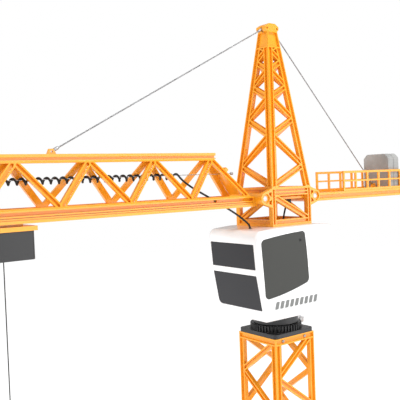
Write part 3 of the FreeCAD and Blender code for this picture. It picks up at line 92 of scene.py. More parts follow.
# The lead's points from the coil down through the jib to the hole in the cab's roof, above the roof.
LEAD_ROUTE = [
    (-0.1389, 0.0, 0.0646), (-0.1368, -0.0001, 0.0624), (-0.1338, -0.0002, 0.0591),
    (-0.1266, -0.0005, 0.0535), (-0.116, -0.0012, 0.0469), (-0.1033, -0.0026, 0.0402),
    (-0.089, -0.0046, 0.0319), (-0.0745, -0.0069, 0.0234), (-0.0615, -0.0093, 0.0149),
    (-0.0523, -0.0109, 0.0076), (-0.0464, -0.0114, 0.0023), (-0.046, -0.0113, -0.0046),
]
# The feeder's points from the cab's roof up to the wiring box, above the roof.
FEEDER_ROUTE = [
    (0.018, 0.0, -0.004), (0.0182, 0.0001, 0.0004), (0.0191, 0.0003, 0.0058),
    (0.0207, 0.0004, 0.0116), (0.0226, 0.0002, 0.0174), (0.0242, 0.0, 0.0235),
]
# Radius and height of turned parts: the grommet's collar and the guide wire's stopper.
COLLAR = [
    (0.00112, -0.0009), (0.0014, -0.0006), (0.0022, -0.0006), (0.0025, -0.0009), (0.0025, -0.0048),
    (0.00112, -0.0048), (0.00112, -0.0009),
]
STOPPER = [
    (0.00001, 0.0), (0.0012, 0.0001), (0.0017, 0.0007), (0.0017, 0.0027), (0.0012, 0.0033), (0.00001, 0.0034),
]

# The camera, its lens in millimetres, and the soft lamps: spot, target, width, height and power.
EYE = (-0.53753, -0.56230, ROOF + 0.05823)
EYE_RIGHT = (0.7941, -0.6066, -0.0376)
EYE_FORWARD = (0.6057, 0.7950, -0.0325)
LENS = 57.41
AMBIENT = 0.5
LAMPS = (
    ("side_softbox", (1.15, -2.00, 1.15), (-0.1, 0.0, 1.08), 2.4, 1.2, 20.0),
    ("key_softbox", (0.25, -1.10, 2.70), (-0.15, 0.0, 1.08), 0.9, 0.9, 28.0),
    ("front_fill", (-2.3, 0.7, 1.7), (-0.1, 0.0, 1.08), 1.4, 1.4, 30.0),
)


# ---------------------------------------------------------------- settings

class CraneSizes(PropertyGroup):
    frame_round: FloatProperty(name="Lattice edge", description="Rounding of the lattice's moulded edges",
                               default=0.00032, min=0.00005, unit="LENGTH")
    shell_round: FloatProperty(name="Shell edge", description="Rounding of the cab's window recesses",
                               default=0.00035, min=0.00005, unit="LENGTH")
    stone_round: FloatProperty(name="Ballast edge", description="Rounding of the ballast blocks' edges",
                               default=0.0009, min=0.0001, unit="LENGTH")
    cord_width: FloatProperty(name="Cord width", description="Diameter of the curly cord and the feeder",
                              default=0.0022, min=0.0005, unit="LENGTH")
    coil_radius: FloatProperty(name="Curl radius", description="Radius of the curly cord's centre line",
                               default=0.0028, min=0.001, unit="LENGTH")
    coil_turns: IntProperty(name="Curls", description="Turns of the curly cord from its lead to the trolley",
                            default=23, min=4)
    rope_width: FloatProperty(name="Rope width", description="Diameter of the hoist rope",
                              default=0.0012, min=0.0004, unit="LENGTH")
    stay_width: FloatProperty(name="Stay width", description="Diameter of the stranded steel stays",
                              default=0.0015, min=0.0005, unit="LENGTH")
    wire_width: FloatProperty(name="Guide wire width", description="Diameter of the wire through the jib",
                              default=0.0009, min=0.0003, unit="LENGTH")


def colour(name, description, default):
    return FloatVectorProperty(name=name, description=description, default=default, subtype="COLOR", size=3,
                               min=0.0, max=1.0)


class CraneColours(PropertyGroup):
    yellow: colour("Lattice", "Yellow-orange moulded plastic", (0.93, 0.37, 0.012))
    white: colour("Cab", "White gloss shell", (0.86, 0.86, 0.865))
    front_glass: colour("Front windows", "Charcoal window panels", (0.0165, 0.0165, 0.0195))
    side_glass: colour("Side windows", "Grey window panels", (0.038, 0.039, 0.035))
    ballast: colour("Ballast", "Concrete-grey plastic", (0.36, 0.36, 0.35))
    black: colour("Black parts", "Black plastic", (0.022, 0.022, 0.023))
    cord: colour("Cords", "Black rubbery cord", (0.004, 0.004, 0.004))
    steel: colour("Steel", "Plain steel", (0.52, 0.52, 0.53))
    stripe: colour("Side stripe", "Grey printed bars on the cab", (0.20, 0.205, 0.20))
    floor: colour("Floor", "Pale studio floor", (0.93, 0.93, 0.93))


def sizes():
    return bpy.context.scene.crane_sizes


def tint(name):
    return tuple(getattr(bpy.context.scene.crane_colours, name))


# ---------------------------------------------------------------- finishes

class Value:
    """One socket of a finish; an expression on values adds its Math nodes."""

    def __init__(self, finish, socket):
        self.finish = finish
        self.socket = socket

    def maths(self, operation, *terms):
        return self.finish.node("ShaderNodeMath", {"operation": operation}, dict(enumerate(terms)))

    def __add__(self, other):
        return self.maths("ADD", self, other)

    def __radd__(self, other):
        return self.maths("ADD", other, self)

    def __sub__(self, other):
        return self.maths("SUBTRACT", self, other)

    def __rsub__(self, other):
        return self.maths("SUBTRACT", other, self)

    def __mul__(self, other):
        return self.maths("MULTIPLY", self, other)

    def __rmul__(self, other):
        return self.maths("MULTIPLY", other, self)

    def clamped(self):
        return self.maths("MINIMUM", self.maths("MAXIMUM", self, 0.0), 1.0)

    def over(self, low, high):
        """0 below low, 1 above high, and straight in between."""
        return ((self - low) * (1.0 / (high - low))).clamped()


class Finish:
    """A material and its nodes."""

    def __init__(self, name):
        self.material = bpy.data.materials.new(name)
        self.material.use_nodes = True
        self.tree = self.material.node_tree
        self.shader = self.tree.nodes["Principled BSDF"]
        self.place = self.node("ShaderNodeTexCoord", out="Object")

    def join(self, source, socket):
        if isinstance(source, Value):
            self.tree.links.new(source.socket, socket)
        elif socket.type == "RGBA" and len(source) == 3:
            socket.default_value = (*source, 1.0)
        else:
            socket.default_value = source

    def node(self, kind, settings=None, sockets=None, out=0):
        """A node of any type: its settings first, then the values or links of its sockets."""
        made = self.tree.nodes.new(kind)
        for name, setting in (settings or {}).items():
            setattr(made, name, setting)
        for name, source in (sockets or {}).items():
            self.join(source, made.inputs[name])
        return Value(self, made.outputs[out])

    def noise(self, scale, detail=2.0, roughness=0.5, place=None):
        sockets = {"Vector": place or self.place, "Scale": scale, "Detail": detail, "Roughness": roughness}
        return self.node("ShaderNodeTexNoise", None, sockets, "Fac")

    def stretched(self, scale):
        """Object coordinates, scaled differently along each axis."""
        return self.node("ShaderNodeMapping", None, {"Vector": self.place, "Scale": scale})

    def mixed(self, share, first, second):
        return self.node("ShaderNodeMix", {"data_type": "RGBA"}, {0: share, 6: first, 7: second}, 2)

    def bumped(self, height, distance, strength=1.0):
        sockets = {"Height": height, "Distance": distance, "Strength": strength}
        normal = self.node("ShaderNodeBump", None, sockets)
        self.join(normal, self.shader.inputs["Normal"])

    def set(self, **sockets):
        for name, source in sockets.items():
            self.join(source, self.shader.inputs[name.replace("_", " ")])
        return self


def shade(base, factor):
    return tuple(min(1.0, channel * factor) for channel in base)


def moulded(name, base, rough, grain=0.000012, deep=0.86, coat=0.25):
    """Moulded plastic: faint flow marks in its colour, uneven gloss and a fine skin."""
    finish = Finish(name)
    flow = finish.noise(38.0, 3.0, 0.55)
    cloud = finish.noise(9.0, 2.0)
    skin = finish.noise(2600.0, 2.0, 0.6)
    ripple = finish.noise(210.0, 1.0)
    body = finish.mixed(flow.over(0.35, 0.72), shade(base, deep), shade(base, 1.04))
    finish.set(Base_Color=finish.mixed(cloud.over(0.3, 0.8) * 0.35, body, shade(base, 0.95)))
    finish.set(Roughness=rough + 0.10 * flow.over(0.3, 0.75) + 0.04 * skin)
    finish.set(Coat_Weight=coat, Coat_Roughness=0.1, IOR=1.5)
    finish.bumped(skin * 0.4 + ripple * 0.6, grain, 0.6)
    return finish.material


def panel(name, base, rough):
    """Printed window panel: nearly even colour, a soft satin skin and a faint dot screen."""
    finish = Finish(name)
    cloud = finish.noise(14.0, 2.0)
    screen = finish.node("ShaderNodeTexVoronoi", None, {"Vector": finish.place, "Scale": 1500.0}, "Distance")
    body = finish.mixed(cloud.over(0.3, 0.7), shade(base, 0.9), shade(base, 1.1))
    finish.set(Base_Color=finish.mixed(screen.over(0.25, 0.6) * 0.25, body, shade(base, 1.35)))
    finish.set(Roughness=rough + 0.08 * cloud, Coat_Weight=0.05, Coat_Roughness=0.3, IOR=1.4)
    finish.bumped(screen, 0.000006, 0.4)
    return finish.material


def stone(name, base):
    """Concrete-grey plastic: cast speckle, pits and a chalky skin."""
    finish = Finish(name)
    speck = finish.node("ShaderNodeTexVoronoi", None, {"Vector": finish.place, "Scale": 620.0}, "Distance")
    sand = finish.noise(1100.0, 4.0, 0.7)
    cloud = finish.noise(45.0, 4.0, 0.6)
    body = finish.mixed(cloud.over(0.3, 0.7), shade(base, 0.78), shade(base, 1.15))
    dotted = finish.mixed((1 - speck.over(0.1, 0.32)) * sand.over(0.45, 0.6), body, shade(base, 0.5))
    finish.set(Base_Color=dotted, Roughness=0.72 + 0.2 * sand, IOR=1.45)
    finish.bumped(sand * 0.7 + speck * 0.5, 0.00012, 0.8)
    return finish.material


def metal(name, base, rough, scale=(300.0, 300.0, 2600.0)):
    """Drawn or turned steel: fine lines along one way, dulled in patches."""
    finish = Finish(name)
    lines = finish.noise(1.0, 3.0, 0.6, finish.stretched(scale))
    patch = finish.noise(120.0, 3.0)
    finish.set(Base_Color=finish.mixed(patch.over(0.3, 0.7), shade(base, 0.75), shade(base, 1.15)))
    finish.set(Metallic=1.0, Roughness=rough + 0.18 * lines + 0.08 * patch)
    finish.bumped(lines, 0.00001, 0.5)
    return finish.material


def rubber(name, base, rough=0.5):
    """Black rubbery sheath: faint dust and a soft, slightly uneven skin."""
    finish = Finish(name)
    skin = finish.noise(1800.0, 3.0, 0.6)
    dust = finish.noise(60.0, 3.0)
    finish.set(Base_Color=finish.mixed(dust.over(0.45, 0.8) * 0.5, base, shade(base, 1.9)))
    finish.set(Roughness=rough + 0.2 * skin, IOR=1.48)
    finish.bumped(skin, 0.00002, 0.5)
    return finish.material


def cells():
    """Battery cells in a dark tray: a bright band on each cell's wrap."""
    finish = Finish("battery_wrap")
    split = finish.node("ShaderNodeSeparateXYZ", None, {"Vector": finish.place}, "Y")
    band = split.over(0.012, 0.0122) * (1 - split.over(0.0248, 0.025))
    fine = finish.noise(900.0)
    finish.set(Base_Color=finish.mixed(band, (0.02, 0.02, 0.022), (0.62, 0.36, 0.12)))
    finish.set(Roughness=0.28 + 0.15 * fine, Coat_Weight=0.3)
    finish.bumped(fine, 0.00001, 0.4)
    return finish.material


def circuit():
    """Circuit board: green lacquer with paler tracks."""
    finish = Finish("circuit_lacquer")
    tracks = finish.node("ShaderNodeTexBrick", {"offset": 0.37}, {
        "Vector": finish.place, "Scale": 160.0, "Mortar Size": 0.04, "Color1": (0.0, 0.0, 0.0),
        "Color2": (0.0, 0.0, 0.0), "Mortar": (1.0, 1.0, 1.0)}, "Fac")
    fine = finish.noise(700.0)
    finish.set(Base_Color=finish.mixed(tracks, (0.012, 0.11, 0.035), (0.05, 0.26, 0.09)))
    finish.set(Roughness=0.3 + 0.2 * fine, Coat_Weight=0.4)
    finish.bumped(tracks * 0.6 + fine * 0.3, 0.00006, 0.6)
    return finish.material


FINISHES = {}


def make_finishes():
    FINISHES.update({
        "yellow": moulded("yellow_moulded_plastic", tint("yellow"), 0.22, 0.0000015, 0.95, 0.3),
        "white": moulded("white_gloss_shell", tint("white"), 0.17, 0.000006, 0.985, 0.5),
        "front_glass": panel("front_window_panel", tint("front_glass"), 0.42),
        "side_glass": panel("side_window_panel", tint("side_glass"), 0.5),
        "ballast": stone("cast_ballast", tint("ballast")),
        "black": moulded("black_plastic", tint("black"), 0.38, 0.00002, 0.7, 0.1),
        "cord": rubber("cord_sheath", tint("cord")),
        "steel": metal("plain_steel", tint("steel"), 0.26),
        "wire": metal("stranded_steel", shade(tint("steel"), 0.8), 0.34, (900.0, 900.0, 900.0)),
        "cell": cells(),
        "board": circuit(),
        "foot": rubber("rubber_foot", (0.03, 0.03, 0.03), 0.6),
        "stripe": moulded("printed_bars", tint("stripe"), 0.5, 0.000004, 0.9, 0.0),
    })


# ---------------------------------------------------------------- surfaces

def outward(mesh):
    """Turn a closed mesh right side out: the sum of its triangles' signed volumes is made positive."""
    count = len(mesh.vertices)
    spots = np.empty(count * 3)
    mesh.vertices.foreach_get("co", spots)
    spots = spots.reshape(-1, 3)
    mesh.calc_loop_triangles()
    corners = np.empty(len(mesh.loop_triangles) * 3, dtype=np.int32)
    mesh.loop_triangles.foreach_get("vertices", corners)
    a, b, c = spots[corners.reshape(-1, 3)].transpose(1, 0, 2)
    if np.einsum("ij,ij->i", a, np.cross(b, c)).sum() < 0:
        mesh.flip_normals()


def surface(name, grids, capped=True, smooth=40.0):
    """Closed skins on grids of points: row after row along the piece, each row a ring round it."""
    spots = []
    faces = []
    start = 0
    for grid in grids:
        rows, columns = grid.shape[:2]
        index = start + np.arange(rows * columns).reshape(rows, columns)
        after = np.roll(index, -1, axis=1)
        faces += np.stack([index[:-1], after[:-1], after[1:], index[1:]], axis=-1).reshape(-1, 4).tolist()
        if capped:
            faces += [index[0, ::-1].tolist(), index[-1].tolist()]
        spots.append(grid.reshape(-1, 3))
        start += rows * columns
    mesh = bpy.data.meshes.new(name)
    mesh.from_pydata(np.concatenate(spots).tolist(), [], faces)
    mesh.validate()
    outward(mesh)
    return smoothed(mesh, smooth)


def smoothed(mesh, angle):
    mesh.polygons.foreach_set("use_smooth", np.ones(len(mesh.polygons), dtype=bool))
    mesh.set_sharp_from_angle(angle=math.radians(angle))
    return mesh


def unit(vectors):
    return vectors / np.linalg.norm(vectors, axis=-1, keepdims=True)


def carried(path, section, reference, twist=0.0):
    """Section carried along a path: a ring is the path's point plus the section's two coordinates along two
    directions square to the path; the section turns by twist radians for each metre travelled."""
    along = unit(np.gradient(path, axis=0))
    side = unit(np.cross(along, np.asarray(reference, float)))
    up = np.cross(side, along)
    travelled = np.concatenate([[0.0], np.cumsum(np.linalg.norm(np.diff(path, axis=0), axis=1))])
    turn = (twist * travelled)[:, None]
    x = section[:, 0] * np.cos(turn) - section[:, 1] * np.sin(turn)
    y = section[:, 0] * np.sin(turn) + section[:, 1] * np.cos(turn)
    return path[:, None] + x[..., None] * side[:, None] + y[..., None] * up[:, None]


def ring(radius, count):
    """Circle: radius times the cosine and sine of evenly spaced angles."""
    angle = np.arange(count) * 2 * math.pi / count
    return radius * np.stack([np.cos(angle), np.sin(angle)], axis=-1)


def strands(radius, lobes=6, count=36):
    """Rope section: the outer edge of round strands laid side by side round a core."""
    angle = np.arange(count) * 2 * math.pi / count
    small = radius * math.sin(math.pi / lobes) / (1 + math.sin(math.pi / lobes))
    offset = (angle + math.pi / lobes) % (2 * math.pi / lobes) - math.pi / lobes
    root = np.sqrt(small ** 2 - ((radius - small) * np.sin(offset)) ** 2 + 1e-12)
    reach = (radius - small) * np.cos(offset) + root
    return reach[:, None] * np.stack([np.cos(angle), np.sin(angle)], axis=-1)


def square_to(axis):
    """The axis as a unit vector, and two unit vectors square to it."""
    axis = unit(np.asarray(axis, float))
    other = np.array([0.0, 0.0, 1.0]) if abs(axis[2]) < 0.9 else np.array([1.0, 0.0, 0.0])
    side = unit(np.cross(axis, other))
    return axis, side, np.cross(axis, side)


def turned(profile, centre, axis, count=40):
    """Profile of radius and height spun about an axis: centre + radius * (cos, sin) + height * axis."""
    axis, side, up = square_to(axis)
    angle = np.arange(count) * 2 * math.pi / count
    around = np.cos(angle)[:, None] * side + np.sin(angle)[:, None] * up
    profile = np.asarray(profile, float)
    return np.asarray(centre, float) + profile[:, None, :1] * around[None] + profile[:, None, 1:] * axis


def screw_head(centre, axis, radius, height, recess):
    """Pan head with a crossed recess, sunk where either arm of the cross is nearer than its half width."""
    axis, side, up = square_to(axis)
    centre = np.asarray(centre, float)
    share = np.linspace(0.0, 1.0, 13)[1:, None]
    angle = np.arange(40)[None] * 2 * math.pi / 40
    u = radius * share * np.cos(angle)
    v = radius * share * np.sin(angle)
    dome = height * np.sqrt(np.clip(1 - (share * 0.94) ** 4, 0, 1)) + 0 * angle
    arm = np.minimum(np.abs(u), np.abs(v))
    in_arm = np.clip((0.2 * radius - arm) / (0.06 * radius), 0, 1)
    in_reach = np.clip((0.66 * radius - np.hypot(u, v)) / (0.1 * radius), 0, 1)
    level = dome - recess * (in_arm * in_reach)
    top = centre + u[..., None] * side + v[..., None] * up + level[..., None] * axis
    skirt = centre + u[-1:, :, None] * side + v[-1:, :, None] * up - 0.0004 * axis
    return np.concatenate([top, skirt])


def spline_points(name, route):
    """Points along the smooth line of a route, read from a NURBS spline whose control points it gives."""
    curve = bpy.data.curves.new(name + "_line", "CURVE")
    curve.dimensions = "3D"
    curve.resolution_u = 10
    line = curve.splines.new("NURBS")
    line.points.add(len(route) - 1)
    for point, spot in zip(line.points, route):
        point.co = (*spot, 1.0)
    line.order_u = 3
    line.use_endpoint_u = True
    holder = bpy.data.objects.new(name + "_line", curve)
    bpy.context.scene.collection.objects.link(holder)
    bpy.context.view_layer.update()
    traced = bpy.data.meshes.new_from_object(holder)
    spots = np.empty(len(traced.vertices) * 3)
    traced.vertices.foreach_get("co", spots)
    bpy.data.objects.remove(holder)
    bpy.data.meshes.remove(traced)
    bpy.data.curves.remove(curve)
    return spots.reshape(-1, 3)


# ---------------------------------------------------------------- pieces

def piece(name, mesh, finish, body=None):
    mesh.materials.clear()
    mesh.materials.append(FINISHES[finish])
    made = bpy.data.objects.new(name, mesh)
    bpy.context.scene.collection.objects.link(made)
    if body:
        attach(made, body)
    return made


def stands_for(name, mesh, finish, *nodes):
    """A surface that replaces frame nodes and rides with the first of them."""
    made = piece(name, mesh, finish, BODY_OF[nodes[0]])
    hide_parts(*nodes)
    return made


def refined(node, width, finish=None, segments=2, clipped=False):
    """A frame node's own shape: doubles merged, flat areas joined, and its edges rounded by a Bevel.
    A clipped node has its many-sided faces cut into triangles first, so that the Bevel leaves no spike."""
    work = bmesh.new()
    work.from_mesh(frame["nodes"][node].data)
    bmesh.ops.remove_doubles(work, verts=work.verts, dist=2e-6)
    bmesh.ops.dissolve_limit(work, angle_limit=math.radians(0.6), verts=work.verts, edges=work.edges)
    if clipped:
        many = [face for face in work.faces if len(face.verts) > 4]
        bmesh.ops.triangulate(work, faces=many, ngon_method="EAR_CLIP")
    mesh = bpy.data.meshes.new(node + "_moulding")
    work.to_mesh(mesh)
    work.free()
    if "custom_normal" in mesh.attributes:
        mesh.attributes.remove(mesh.attributes["custom_normal"])
    smoothed(mesh, 30.0)
    made = stands_for(node + "_finished", mesh, finish or SLOT_OF[node], node)
    edge = made.modifiers.new("rounded_edges", "BEVEL")
    edge.width = width
    edge.segments = segments
    edge.limit_method = "ANGLE"
    edge.angle_limit = math.radians(30.0)
    edge.harden_normals = True
    edge.use_clamp_overlap = True


# ---------------------------------------------------------------- operators

class CRANE_OT_cords(Operator):
    """Curly cord with its lead, and the feeder cable, as smooth rubber tubes"""
    bl_idname = "crane.cords"
    bl_label = "Cords"

    def execute(self, context):
        s = sizes()
        section = ring(s.cord_width / 2, 12)
        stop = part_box("curly_cord")[0].x + 0.001
        turn = np.arange(s.coil_turns * 12 + 7) * 2 * math.pi / 12
        x = COIL_START_X + (stop - COIL_START_X) * turn / turn[-1]
        curl = np.stack([x, s.coil_radius * np.sin(turn), COIL_Z + s.coil_radius * np.cos(turn)], axis=-1)
        lead = [(x, y, ROOF + z) for x, y, z in reversed(LEAD_ROUTE)]
        clip = [(stop - 0.0006, 0.0006, COIL_Z - 0.0022), (stop - 0.0022, 0.0, COIL_Z - 0.001)]
        route = lead + [tuple(spot) for spot in curl] + clip
        path = spline_points("curly_cord", route)
        skin = surface("curly_cord_run", [carried(path, section, (1, 0, 0))])
        cord = piece("curly_cord_run", skin, "cord")
        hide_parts("curly_cord", "coil_lead")
        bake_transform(cord)

        path = spline_points("feeder", [(x, y, ROOF + z) for x, y, z in FEEDER_ROUTE])
        skin = surface("feeder_run", [carried(path, section, (1, 0, 0))])
        stands_for("feeder_run", skin, "cord", "feeder_cable")
        hole_x, hole_y = LEAD_ROUTE[-1][:2]
        collar = turned(COLLAR, (hole_x, hole_y, ROOF), (0, 0, 1), 32)
        skin = surface("grommet_collar", [collar], capped=False)
        stands_for("grommet_collar", skin, "cord", "cord_grommet")
        return {"FINISHED"}


class CRANE_OT_hoist_rope(Operator):
    """Laid hoist rope from the drum, round the hook's sheave and back up to the trolley"""
    bl_idname = "crane.hoist_rope"
    bl_label = "Hoist rope"

    def execute(self, context):
        s = sizes()
        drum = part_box("hoist_drum")
        top = (drum[0].z + drum[1].z) / 2
        left, right = TROLLEY_X - ROPE_REACH, TROLLEY_X + ROPE_REACH
        bend = ROPE_REACH * 1.07
        under = [(TROLLEY_X - bend * math.cos(a), 0.0, SHEAVE_Z - bend * math.sin(a))
                 for a in np.radians([18, 42, 66, 90, 114, 138, 162])]
        route = [(left + 0.0004, 0.0, top), (left, 0.0, top - 0.012), (left, 0.0, SHEAVE_Z + 0.07),
                 (left, 0.0, SHEAVE_Z + 0.012), (left, 0.0, SHEAVE_Z + 0.002), *under,
                 (right, 0.0, SHEAVE_Z + 0.002), (right, 0.0, SHEAVE_Z + 0.012),
                 (right, 0.0, SHEAVE_Z + 0.07), (right, 0.0, top - 0.012), (right, 0.0, top + 0.004)]
        path = spline_points("hoist_rope", route)
        steps = np.linalg.norm(np.diff(path, axis=0), axis=1)
        travelled = np.concatenate([[0.0], np.cumsum(steps)])
        even = np.arange(0.0, travelled[-1], 0.0006)
        fine = np.stack([np.interp(even, travelled, path[:, axis]) for axis in range(3)], axis=-1)
        section = strands(s.rope_width / 2, 3, 18)
        skin = surface("hoist_rope_laid", [carried(fine, section, (0, 1, 0), 1500.0)])
        rope = piece("hoist_rope_laid", skin, "cord")
        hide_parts("hoist_rope")
        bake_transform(rope)
        return {"FINISHED"}


def stay(start, end, width):
    """Stranded wire from eye to eye, with a loop round each eye and a crimped sleeve beside it."""
    start, end = np.array(start), np.array(end)
    way = unit(end - start)
    across = np.cross(way, (0.0, 1.0, 0.0))
    grids = []
    count = int(np.linalg.norm(end - start) / 0.0007)
    share = np.linspace(0.0, 1.0, count)[:, None]
    straight = (start + way * 0.005) * (1 - share) + (end - way * 0.005) * share
    grids.append(carried(straight, strands(width / 2), (0, 1, 0), 900.0))
    for eye, toward in ((start, way), (end, -way)):
        angle = np.linspace(0.25, 2 * math.pi - 0.25, 40)[:, None]
        loop = eye + toward * (0.0006 + 0.0021 * np.cos(angle)) + across * 0.0017 * np.sin(angle)
        grids.append(carried(loop, ring(width / 2, 10), (0, 1, 0)))
        sleeve = [(0.0002, 0.0022), (width * 0.95, 0.0022), (width * 1.1, 0.0026), (width * 1.1, 0.0078),
                  (width * 0.95, 0.0082), (0.0002, 0.0082)]
        grids.append(turned(sleeve, eye, toward, 20))
    return grids


class CRANE_OT_stays(Operator):
    """Stranded steel stays of the jib and counter-jib, and the guide wire through the jib"""
    bl_idname = "crane.stays"
    bl_label = "Stays and guide wire"

    def execute(self, context):
        s = sizes()
        reach, eye = SPIRE_EYE
        grids = []
        for side, (lug_x, lug_z) in ((-reach, JIB_LUG), (reach, COUNTER_LUG)):
            grids += stay((HEAD_X + side, 0, eye), (lug_x, 0, lug_z), s.stay_width)
        stands_for("stranded_stays", surface("stranded_stays", grids), "wire", "pendant_wires")
        low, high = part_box("guide_wire")[0].x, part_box("guide_wire")[1].x
        x = np.arange(low, high, 0.0008)
        line = np.stack([x, 0 * x, 0 * x + WIRE_Z], axis=-1)
        grids = [carried(line, strands(s.wire_width / 2, 6, 18), (0, 0, 1), 1500.0)]
        for at in (STOPPER_X, low):
            grids.append(turned(STOPPER, (at, 0, WIRE_Z), (1, 0, 0), 24))
        stands_for("guide_wire_strand", surface("guide_wire_strand", grids), "wire", "guide_wire")
        return {"FINISHED"}


class CRANE_OT_lattice(Operator):
    """Moulded yellow-orange frames of the mast, head, jib and counter-jib"""
    bl_idname = "crane.lattice"
    bl_label = "Lattice frames"

    def execute(self, context):
        edge = sizes().frame_round
        for level in range(1, 5):
            refined("mast_section_%d" % level, edge)
        for node in ("head_side_frames", "counter_railings"):
            refined(node, edge, clipped=True)
        for node in ("head_cross_frames", "head_spire", "head_deck", "head_cap", "root_yokes",
                     "jib_side_trusses", "jib_lower_chords", "jib_top_chord", "jib_root_plate", "jib_tip",
                     "counter_jib_frame"):
            refined(node, edge)
        refined("root_pins", 0.0003)
        return {"FINISHED"}


class CRANE_OT_base(Operator):
    """Cross base with its hub, arms, feet, bolts and ballast blocks"""
    bl_idname = "crane.base"
    bl_label = "Cross base"

    def execute(self, context):
        s = sizes()
        refined("base_hub", 0.0006)
        refined("base_arms", 0.0005)
        refined("ballast_blocks", s.stone_round, segments=3)
        refined("foot_pads", 0.0006, segments=3)
        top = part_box("base_hub")[0].z + MAST_FOOT
        heads = []
        for quarter in range(4):
            angle = math.radians(45 + 90 * quarter)
            for side in (-0.012, 0.012):
                spot = (BOLT_CIRCLE * math.cos(angle) - side * math.sin(angle),
                        BOLT_CIRCLE * math.sin(angle) + side * math.cos(angle), top)
                heads.append(screw_head(spot, (0, 0, 1), 0.0036, 0.0026, 0.0012))
        stands_for("arm_bolt_heads", surface("arm_bolt_heads", heads), "steel", "arm_bolts")
        heads = []
        for level in range(1, 5):
            for lift in (-0.004, 0.004):
                if level == 4 and lift > 0:
                    continue
                z = MAST_FOOT + MAST_PITCH * level + lift
                for turn in (-1, 1):
                    for side in (-0.018, 0.018):
                        spot = (side, turn * MAST_HALF, z)
                        heads.append(screw_head(spot, (0, turn, 0), 0.002, 0.0016, 0.0008))
        stands_for("mast_screw_heads", surface("mast_screw_heads", heads), "steel", "mast_screws")
        return {"FINISHED"}


class CRANE_OT_slew_gear(Operator):
    """Slewing gear: plate, toothed ring, pinion, turntable and motor"""
    bl_idname = "crane.slew_gear"
    bl_label = "Slewing gear"

    def execute(self, context):
        refined("slew_base", 0.0005)
        refined("slew_ring", 0.0001)
        refined("slew_pinion", 0.00012)
        refined("turntable", 0.0005)
        refined("slew_motor", 0.0004)
        return {"FINISHED"}


def slanted_bars(side):
    """Row of slanted round-cornered bars standing a hair proud of the cab's side."""
    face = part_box("cab_shell")[0 if side < 0 else 1].y
    grids = []
    wide, tall, power, lean = 0.0028, 0.0043, 0.35, 0.3
    proud = np.array([-0.0003, 0.00006, 0.0001])[:, None, None]
    shrink = np.array([1.0, 1.0, 0.93])[:, None, None]
    angle = np.arange(32) * 2 * math.pi / 32
    u = wide * np.sign(np.cos(angle)) * np.abs(np.cos(angle)) ** power
    v = tall * np.sign(np.sin(angle)) * np.abs(np.sin(angle)) ** power
    for index in range(9):
        middle = -0.038 + 0.0078 * index
        outline = np.stack([middle + u + lean * v, 0 * u, BARS_Z + v], axis=-1)
        centre = outline.mean(axis=0)
        rows = centre + (outline[None] - centre) * shrink
        rows[..., 1] = face + side * proud[..., 0]
        grids.append(rows)
    return grids


class CRANE_OT_cab(Operator):
    """Driver's cab: white shell, dark window panels, rear cover, screws and printed bars"""
    bl_idname = "crane.cab"
    bl_label = "Driver's cab"

    def execute(self, context):
        s = sizes()
        refined("cab_shell", s.shell_round, segments=3)
        refined("cab_floor", 0.0003)
        refined("rear_cover", 0.0003, segments=3)
        for node in ("front_window_upper", "front_window_lower"):
            refined(node, 0.0002, "front_glass")
        refined("side_windows", 0.0003, "side_glass", 3)
        heads = []
        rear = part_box("rear_cover")[1].x
        for turn in (-1, 1):
            spot = (rear - 0.0001, turn * 0.026, ROOF - 0.024)
            heads.append(screw_head(spot, (1, 0, 0), 0.0026, 0.0013, 0.0009))
            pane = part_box("side_windows")[0 if turn < 0 else 1].y
            spot = (0.0021, pane, ROOF - 0.0167)
            heads.append(screw_head(spot, (0, turn, 0), 0.0019, 0.0007, 0.0009))
        stands_for("cover_screw_heads", surface("cover_screw_heads", heads), "black", "cover_screws")
        bars = surface("cab_side_bars", slanted_bars(-1) + slanted_bars(1))
        piece("cab_side_bars", bars, "stripe", "superstructure")
        refined("power_switch", 0.0002)
        refined("wiring_box", 0.0005)
        refined("battery_pack", 0.0004)
        refined("circuit_board", 0.0002)
        return {"FINISHED"}


class CRANE_OT_counterweights(Operator):
    """Cast counterweight slabs at the end of the counter-jib"""
    bl_idname = "crane.counterweights"
    bl_label = "Counterweights"

    def execute(self, context):
        refined("counterweights", sizes().stone_round, segments=3)
        return {"FINISHED"}


class CRANE_OT_trolley(Operator):
    """Trolley with its frame, cover, motors, drum and wheelsets"""
    bl_idname = "crane.trolley"
    bl_label = "Trolley"

    def execute(self, context):
        refined("trolley_frame", 0.0004)
        refined("trolley_cover", 0.0006, segments=3)
        refined("trolley_motors", 0.0005)
        refined("hoist_drum", 0.0003)
        refined("front_wheelset", 0.00025)
        refined("rear_wheelset", 0.00025)
        return {"FINISHED"}


class CRANE_OT_hook(Operator):
    """Hook block: cheeks, sheave, crosshead, swivelling hook and its latch"""
    bl_idname = "crane.hook"
    bl_label = "Hook block"

    def execute(self, context):
        refined("hook_cheeks", 0.0004, segments=3)
        refined("hook_block_pins", 0.0004)
        refined("hook_sheave", 0.0002)
        refined("hook", 0.0011, segments=4)
        refined("hook_latch", 0.00018)
        return {"FINISHED"}


def facing(right, forward, spot):
    """Placement of a camera or lamp at a spot, looking forward, with its x axis to the right."""
    up = np.cross(right, forward)
    rows = [(right[i], up[i], -forward[i], spot[i]) for i in range(3)]
    return Matrix((*rows, (0.0, 0.0, 0.0, 1.0)))


